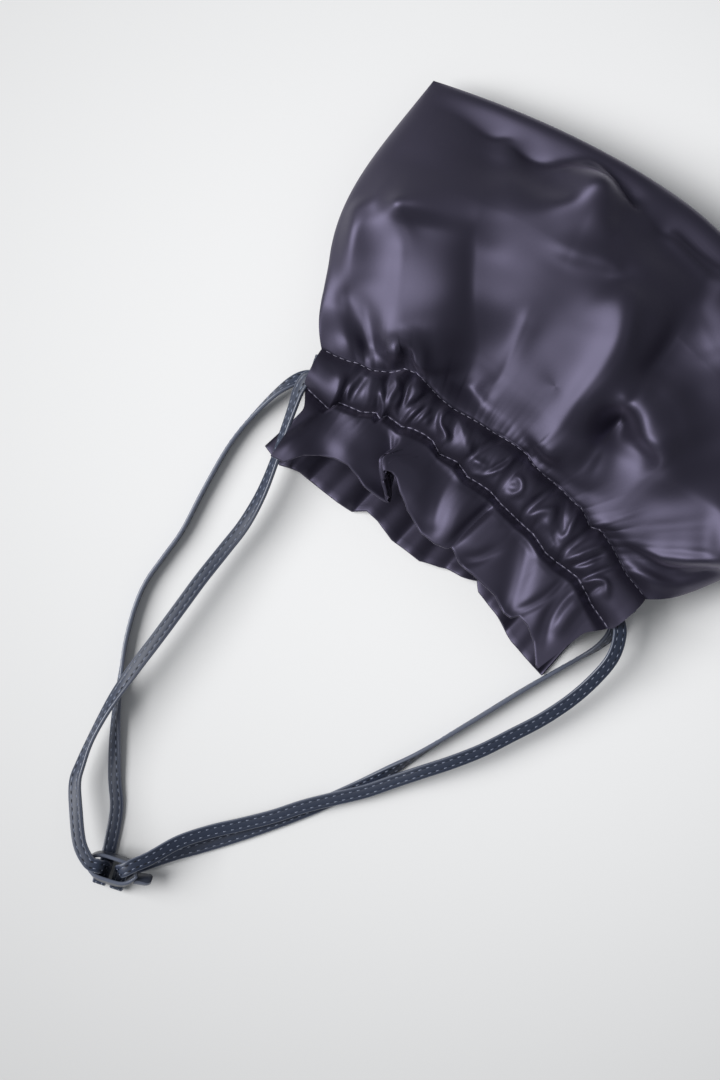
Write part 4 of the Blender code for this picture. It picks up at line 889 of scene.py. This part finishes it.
def slider_way(e, n):
    """A level direction by the slider."""
    way = by_slider(e, n, 0.0) - by_slider(0.0, 0.0, 0.0)
    return way / np.linalg.norm(way)


# The bight of each loop at the slider, as places in by_slider's directions. The fold under the ring has n
# and z, and is the same for both. The ways in and out have places, then a direction for the strap's width
SLIDER_LANE_MM = 3.9
RIGHT_WAY_IN_MM = (
    (10.4, -2.6, (-0.66, -0.75)), (7.4, 0.0, (-0.75, -0.66)), (5.0, 2.9, (-0.9, -0.43)),
)
FOLD_UNDER_MM = (
    (5.4, 1.0), (7.6, 1.0), (8.75, 1.45), (9.2, 2.56), (8.75, 3.67), (7.6, 4.14), (5.0, 4.14),
    (3.2, 4.14), (1.6, 4.2), (0.3, 4.9), (-0.4, 6.4), (-0.4, 8.4),
)
LEFT_WAY_OUT_MM = (
    (0.0, -0.2, 10.4, (0.7, -0.7)), (0.0, 0.0, 12.6, (0.15, -1.0)), (-0.5, 0.0, 14.5, (0.0, -1.0)),
    (-2.2, -0.2, 15.9, (0.0, -1.0)), (-6.0, -0.8, 16.2, (-0.1, -1.0)),
)
RIGHT_WAY_OUT_MM = (
    (0.0, -0.3, 10.4, (-0.85, -0.5)), (0.0, -0.4, 12.6, (-0.68, -0.73)),
    (0.5, -0.9, 14.5, (-0.66, -0.75)), (2.1, -2.3, 15.9, (-0.68, -0.73)),
    (4.8, -5.0, 15.9, (-0.72, -0.69)),
)


def through_slider(hand):
    """A loop's bight: under the ring, folded back, up through the ring and out over its wall."""
    lane = SLIDER_LANE_MM * hand
    flat = (-hand, 0.0)
    way_in = [(lane, -1.0, flat)] if hand < 0 else RIGHT_WAY_IN_MM
    way_out = LEFT_WAY_OUT_MM if hand < 0 else RIGHT_WAY_OUT_MM
    bight = [(e, n, 1.0, way) for e, n, way in way_in]
    bight += [(lane, n, z, flat) for n, z in FOLD_UNDER_MM]
    bight += [(lane + past, n, z, way) for past, n, z, way in way_out]
    return [(by_slider(e * MM, n * MM, z * MM), slider_way(*way), None) for e, n, z, way in bight]


def loop_route(hand):
    """All the points of one loop, with a width direction at each: hand is -1 for the left drawstring."""
    lower, upper = ((LEFT_LOWER_STRAND_MM, LEFT_UPPER_STRAND_MM) if hand < 0
                    else (RIGHT_LOWER_STRAND_MM, RIGHT_UPPER_STRAND_MM))
    entries = (tunnel_pass(hand, 1) + turn_round(hand) + tunnel_pass(hand, -1)
               + strand(lower) + through_slider(hand) + strand(upper))
    places = np.array([entry[0] for entry in entries])
    ahead = np.roll(places, -1, axis=0) - np.roll(places, 1, axis=0)
    widths = []
    for (_, width, roll), way in zip(entries, ahead):
        if width is None:
            level = np.array((way[1], -way[0], 0.0)) * -hand
            level = level / np.linalg.norm(level)
            width = level * math.cos(math.radians(roll)) + np.array((0, 0, math.sin(math.radians(roll))))
        widths.append(width)
    return places, np.array(widths)


def smooth_loop(values, steps):
    """A closed Catmull-Rom curve through the values, with this number of steps from each to the next."""
    before, after, beyond = np.roll(values, 1, 0), np.roll(values, -1, 0), np.roll(values, -2, 0)
    samples = [curve_point(before, values, after, beyond, step / steps) for step in range(steps)]
    return np.stack(samples, axis=1).reshape(-1, values.shape[1])


def closed_loop(values):
    """The values with the first one repeated at the end."""
    return np.concatenate((values, values[:1]))


def strap_frame(hand):
    """The strap's middle line and its unit directions: ahead, across its width and through it."""
    places, widths = loop_route(hand)
    path = smooth_loop(places, STRAP_STEPS)
    ahead = np.roll(path, -1, axis=0) - np.roll(path, 1, axis=0)
    ahead = ahead / np.linalg.norm(ahead, axis=1, keepdims=True)
    wide = smooth_loop(widths, STRAP_STEPS)
    wide = wide - ahead * np.sum(wide * ahead, axis=1, keepdims=True)
    wide = wide / np.linalg.norm(wide, axis=1, keepdims=True)
    return path, ahead, wide, np.cross(ahead, wide)


def tube_quads(rings, sides, closed):
    """Quads round a tube whose points come ring by ring, and the side of the tube that each is on. In a
    closed tube the last ring is joined to the first."""
    spans = rings if closed else rings - 1
    ring = np.repeat(np.arange(spans), sides)
    side = np.tile(np.arange(sides), spans)
    after = (side + 1) % sides
    beyond = (ring + 1) % rings
    quads = np.stack((ring * sides + side, beyond * sides + side, beyond * sides + after,
                      ring * sides + after), axis=1)
    return quads, side


def strap_mesh(name, hand, materials):
    """A strap with its section carried along the loop: a soft rib between two sewn-down lines, and
    rounded painted edges."""
    path, ahead, wide, thick = strap_frame(hand)
    quarter = np.array(((0.0, 1.0), (0.28, 0.99), (0.36, 0.94), (0.43, 0.88), (0.5, 0.94), (0.6, 0.99),
                        (0.86, 0.95), (0.96, 0.72), (1.0, 0.3)))
    right = np.concatenate((quarter, quarter[::-1] * (1, -1)))
    section = np.concatenate((right, (right[::-1] * (-1, 1))[1:-1]))
    across = section[:, 0] * STRAP_WIDTH / 2
    through = section[:, 1] * STRAP_THICKNESS / 2
    points = (path[:, None, :] + wide[:, None, :] * across[None, :, None]
              + thick[:, None, :] * through[None, :, None])
    quads, side = tube_quads(*points.shape[:2], closed=True)
    middle = np.abs(across[side] + across[(side + 1) % len(across)]) / 2
    slots = (middle > PAINTED_FROM * STRAP_WIDTH / 2).astype(int)
    strap = quad_mesh(name, points.reshape(-1, 3), quads, materials, slots)
    return strap, path, ahead, wide, thick


def strap_stitches(name, path, ahead, wide, thick, hidden_until, materials):
    """Thread of both stitch lines on both faces, and a flat dark patch of painted shade for each needle
    hole, left out inside the casings.
    """
    length = distance_along(closed_loop(path))
    at = np.arange(hidden_until, length[-1], STITCH_PITCH)
    spot, way, over, out = [
        np.stack([np.interp(at, length, closed_loop(values)[:, axis]) for axis in range(3)], axis=1)
        for values in (path, ahead, wide, thick)]
    spots, ways, overs, outs = [], [], [], []
    for face in (-1, 1):
        for line in (-1, 1):
            spots.append(spot + over * line * STITCH_LINE + out * face * GROOVE * STRAP_THICKNESS / 2)
            ways.append(way)
            overs.append(over * face)
            outs.append(out * face)
    spots, ways, overs, outs = (np.concatenate(group) for group in (spots, ways, overs, outs))
    threads = stitch_mesh(name, spots, ways, overs, outs, STITCH_LENGTH, STITCH_WIDTH, STITCH_RISE,
                          materials[0])
    # Each needle hole is a flat quad just over the leather, coloured near-black as painted shade
    gap = spots + ways * STITCH_PITCH / 2 + outs * HOLE_SHADE_SEAT
    corners = np.array(((-1, -1), (1, -1), (1, 1), (-1, 1))) * (HOLE_SHADE_HALF_LENGTH, HOLE_SHADE_HALF_WIDTH)
    points = (gap[:, None, :] + ways[:, None, :] * corners[None, :, :1]
              + overs[:, None, :] * corners[None, :, 1:])
    hole_shades = quad_mesh(name + "_holes", points.reshape(-1, 3), np.arange(len(gap) * 4).reshape(-1, 4),
                      [materials[1]])
    return threads, hole_shades


# Full-grain leather, dyed and waxed: a dull blue-grey sheen, with pores that only just show. Its cut edges
# are painted and burnished, so they catch the light
strap_leather, strap_shader = new_material("navy_full_grain_leather")
strap_shader.inputs["Base Color"].default_value = linear("#2b3345")
strap_shader.inputs["Roughness"].default_value = 0.45
strap_shader.inputs["Specular IOR Level"].default_value = 0.45
leather_place = node(strap_leather, "ShaderNodeTexCoord")
pores = node(strap_leather, "ShaderNodeTexVoronoi", {"Scale": 1400.0},
             {"Vector": leather_place.outputs["Object"]})
leather_bump = node(strap_leather, "ShaderNodeBump", {"Strength": 0.25, "Distance": 0.0001},
                    {"Height": pores.outputs["Distance"]})
strap_leather.node_tree.links.new(leather_bump.outputs["Normal"], strap_shader.inputs["Normal"])

edge_paint, edge_shader = new_material("painted_leather_edge")
edge_shader.inputs["Base Color"].default_value = linear("#5a6070")
edge_shader.inputs["Roughness"].default_value = 0.32
edge_shader.inputs["Specular IOR Level"].default_value = 0.7

strap_thread, strap_thread_shader = new_material("waxed_polyester_thread")
strap_thread_shader.inputs["Base Color"].default_value = linear("#787f92")
strap_thread_shader.inputs["Roughness"].default_value = 0.5
# Near-black matt colour for the needle holes: painted shade where a hole's recess would be
painted_hole_shade, painted_hole_shade_shader = new_material("painted_hole_shade")
painted_hole_shade_shader.inputs["Base Color"].default_value = linear("#171a22")
painted_hole_shade_shader.inputs["Roughness"].default_value = 0.9

for hand, name in ((-1, "left_drawstring"), (1, "right_drawstring")):
    strap, path, ahead, wide, thick = strap_mesh("leather_" + name, hand, [strap_leather, edge_paint])
    run = distance_along(closed_loop(path))
    hidden_until = run[(2 * TUNNEL_POINTS + len(TURN_ANGLES)) * STRAP_STEPS]
    threads, hole_shades = strap_stitches(name + "_stitches", path, ahead, wide, thick, hidden_until,
                                    [strap_thread, painted_hole_shade])
    for piece in (strap, threads, hole_shades):
        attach(piece, "root")
    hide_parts(name)


# Slider
# A short band of the same leather, folded to a pointed ring and sewn at one end, which leaves a tail.
# Both loops fold under its foot and come up through it, so it holds them where it is pushed.
SLIDER_LENGTH = 0.0242
SLIDER_HEIGHT = 0.008
SLIDER_WALL = 0.0016
SLIDER_EASE = 0.001
SLIDER_LEAN = 0.0028
SLIDER_SIDES = 96
SLIDER_FOOT = 2 * STRAP_THICKNESS + 0.0018
# The tail: its length, half height, start along and across the ring, drift across, and roll at its end
TAIL_LENGTH = 0.0072
TAIL_HALF = 0.0026
TAIL_START = (-0.0012, 0.0012)
TAIL_DRIFT = -0.0012
TAIL_ROLL = math.radians(58)
TAIL_RINGS = 13


def slider_outline(half_length, half_width, sides):
    """Points round a pointed oval: its half width falls with the fourth power of the distance along."""
    angles = np.arange(sides) * 2 * math.pi / sides
    along = half_length * np.cos(angles)
    across = half_width * (1 - (along / half_length) ** 4) * np.sign(np.sin(angles))
    across[np.abs(np.sin(angles)) < 1e-9] = 0.0
    return along, across


def ring_mesh(name, materials):
    """The ring's wall: a rounded rectangle between an outer and an inner pointed oval. The wall over the
    straps' folds leans out towards its foot."""
    half_length = SLIDER_LENGTH / 2
    hole_half = STRAP_WIDTH / 2 + SLIDER_EASE
    outer_e, outer_n = slider_outline(half_length, hole_half + SLIDER_WALL, SLIDER_SIDES)
    inner_e, inner_n = slider_outline(half_length - SLIDER_WALL, hole_half, SLIDER_SIDES)
    section = ((0.0, 0.05), (0.12, 0.0), (0.88, 0.0), (1.0, 0.05), (1.0, 0.5), (1.0, 0.95), (0.88, 1.0),
               (0.12, 1.0), (0.0, 0.95), (0.0, 0.5))
    rows = []
    for inwards, height in section:
        e = outer_e + (inner_e - outer_e) * inwards
        n = outer_n + (inner_n - outer_n) * inwards
        n = n + SLIDER_LEAN * (1 - height) * np.clip(outer_n / (hole_half + SLIDER_WALL), 0.0, 1.0)
        rows.append(by_slider(e, n, np.full_like(e, SLIDER_FOOT + SLIDER_HEIGHT * height)))
    points = np.stack(rows, axis=1)
    quads, side = tube_quads(*points.shape[:2], closed=True)
    slots = np.isin(side, (0, 1, 2, 5, 6, 7)).astype(int)
    return quad_mesh(name, points.reshape(-1, 3), quads, materials, slots)


def tail_mesh(name, materials):
    """The two ends of the band, sewn face to face: upright at the ring, rolled towards flat further out."""
    run = np.linspace(0.0, 1.0, TAIL_RINGS)
    e = SLIDER_LENGTH / 2 + TAIL_START[0] + run * TAIL_LENGTH
    n = TAIL_DRIFT * run + TAIL_START[1]
    z = SLIDER_FOOT + SLIDER_HEIGHT * (0.5 - 0.1 * run)
    roll = TAIL_ROLL * (0.6 + 0.4 * run)
    tall = TAIL_HALF * np.sqrt(1 - 0.75 * np.clip((run - 0.7) / 0.3, 0.0, 1.0) ** 2)
    section = np.array(((-1.0, -0.7), (-0.9, -1.0), (0.9, -1.0), (1.0, -0.7), (1.0, 0.7), (0.9, 1.0),
                        (-0.9, 1.0), (-1.0, 0.7)))
    up = section[None, :, 0] * tall[:, None]
    aside = np.broadcast_to(section[None, :, 1] * SLIDER_WALL * 0.8, up.shape)
    n = n[:, None] + np.sin(roll)[:, None] * up + np.cos(roll)[:, None] * aside
    z = z[:, None] + np.cos(roll)[:, None] * up - np.sin(roll)[:, None] * aside
    points = by_slider(np.broadcast_to(e[:, None], n.shape), n, z)
    rings, sides = points.shape[:2]
    quads, side = tube_quads(rings, sides, closed=False)
    first_end = np.array(((0, 7, 4, 3), (0, 3, 2, 1), (7, 6, 5, 4)))
    last_end = first_end[:, ::-1] + (rings - 1) * sides
    quads = np.concatenate((quads[:, (0, 3, 2, 1)], first_end, last_end))
    slots = np.concatenate((np.isin(side, (0, 2, 3, 4, 6, 7)), np.ones(6))).astype(int)
    return quad_mesh(name, points.reshape(-1, 3), quads, materials, slots)


slider_leather, slider_shader = new_material("navy_slider_leather")
slider_shader.inputs["Base Color"].default_value = linear("#2c313f")
slider_shader.inputs["Roughness"].default_value = 0.36
slider_shader.inputs["Specular IOR Level"].default_value = 0.6
slider = ring_mesh("leather_slider", [slider_leather, edge_paint])
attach(slider, "root")
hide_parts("slider")
tail = tail_mesh("slider_tail", [slider_leather, edge_paint])
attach(tail, "root")
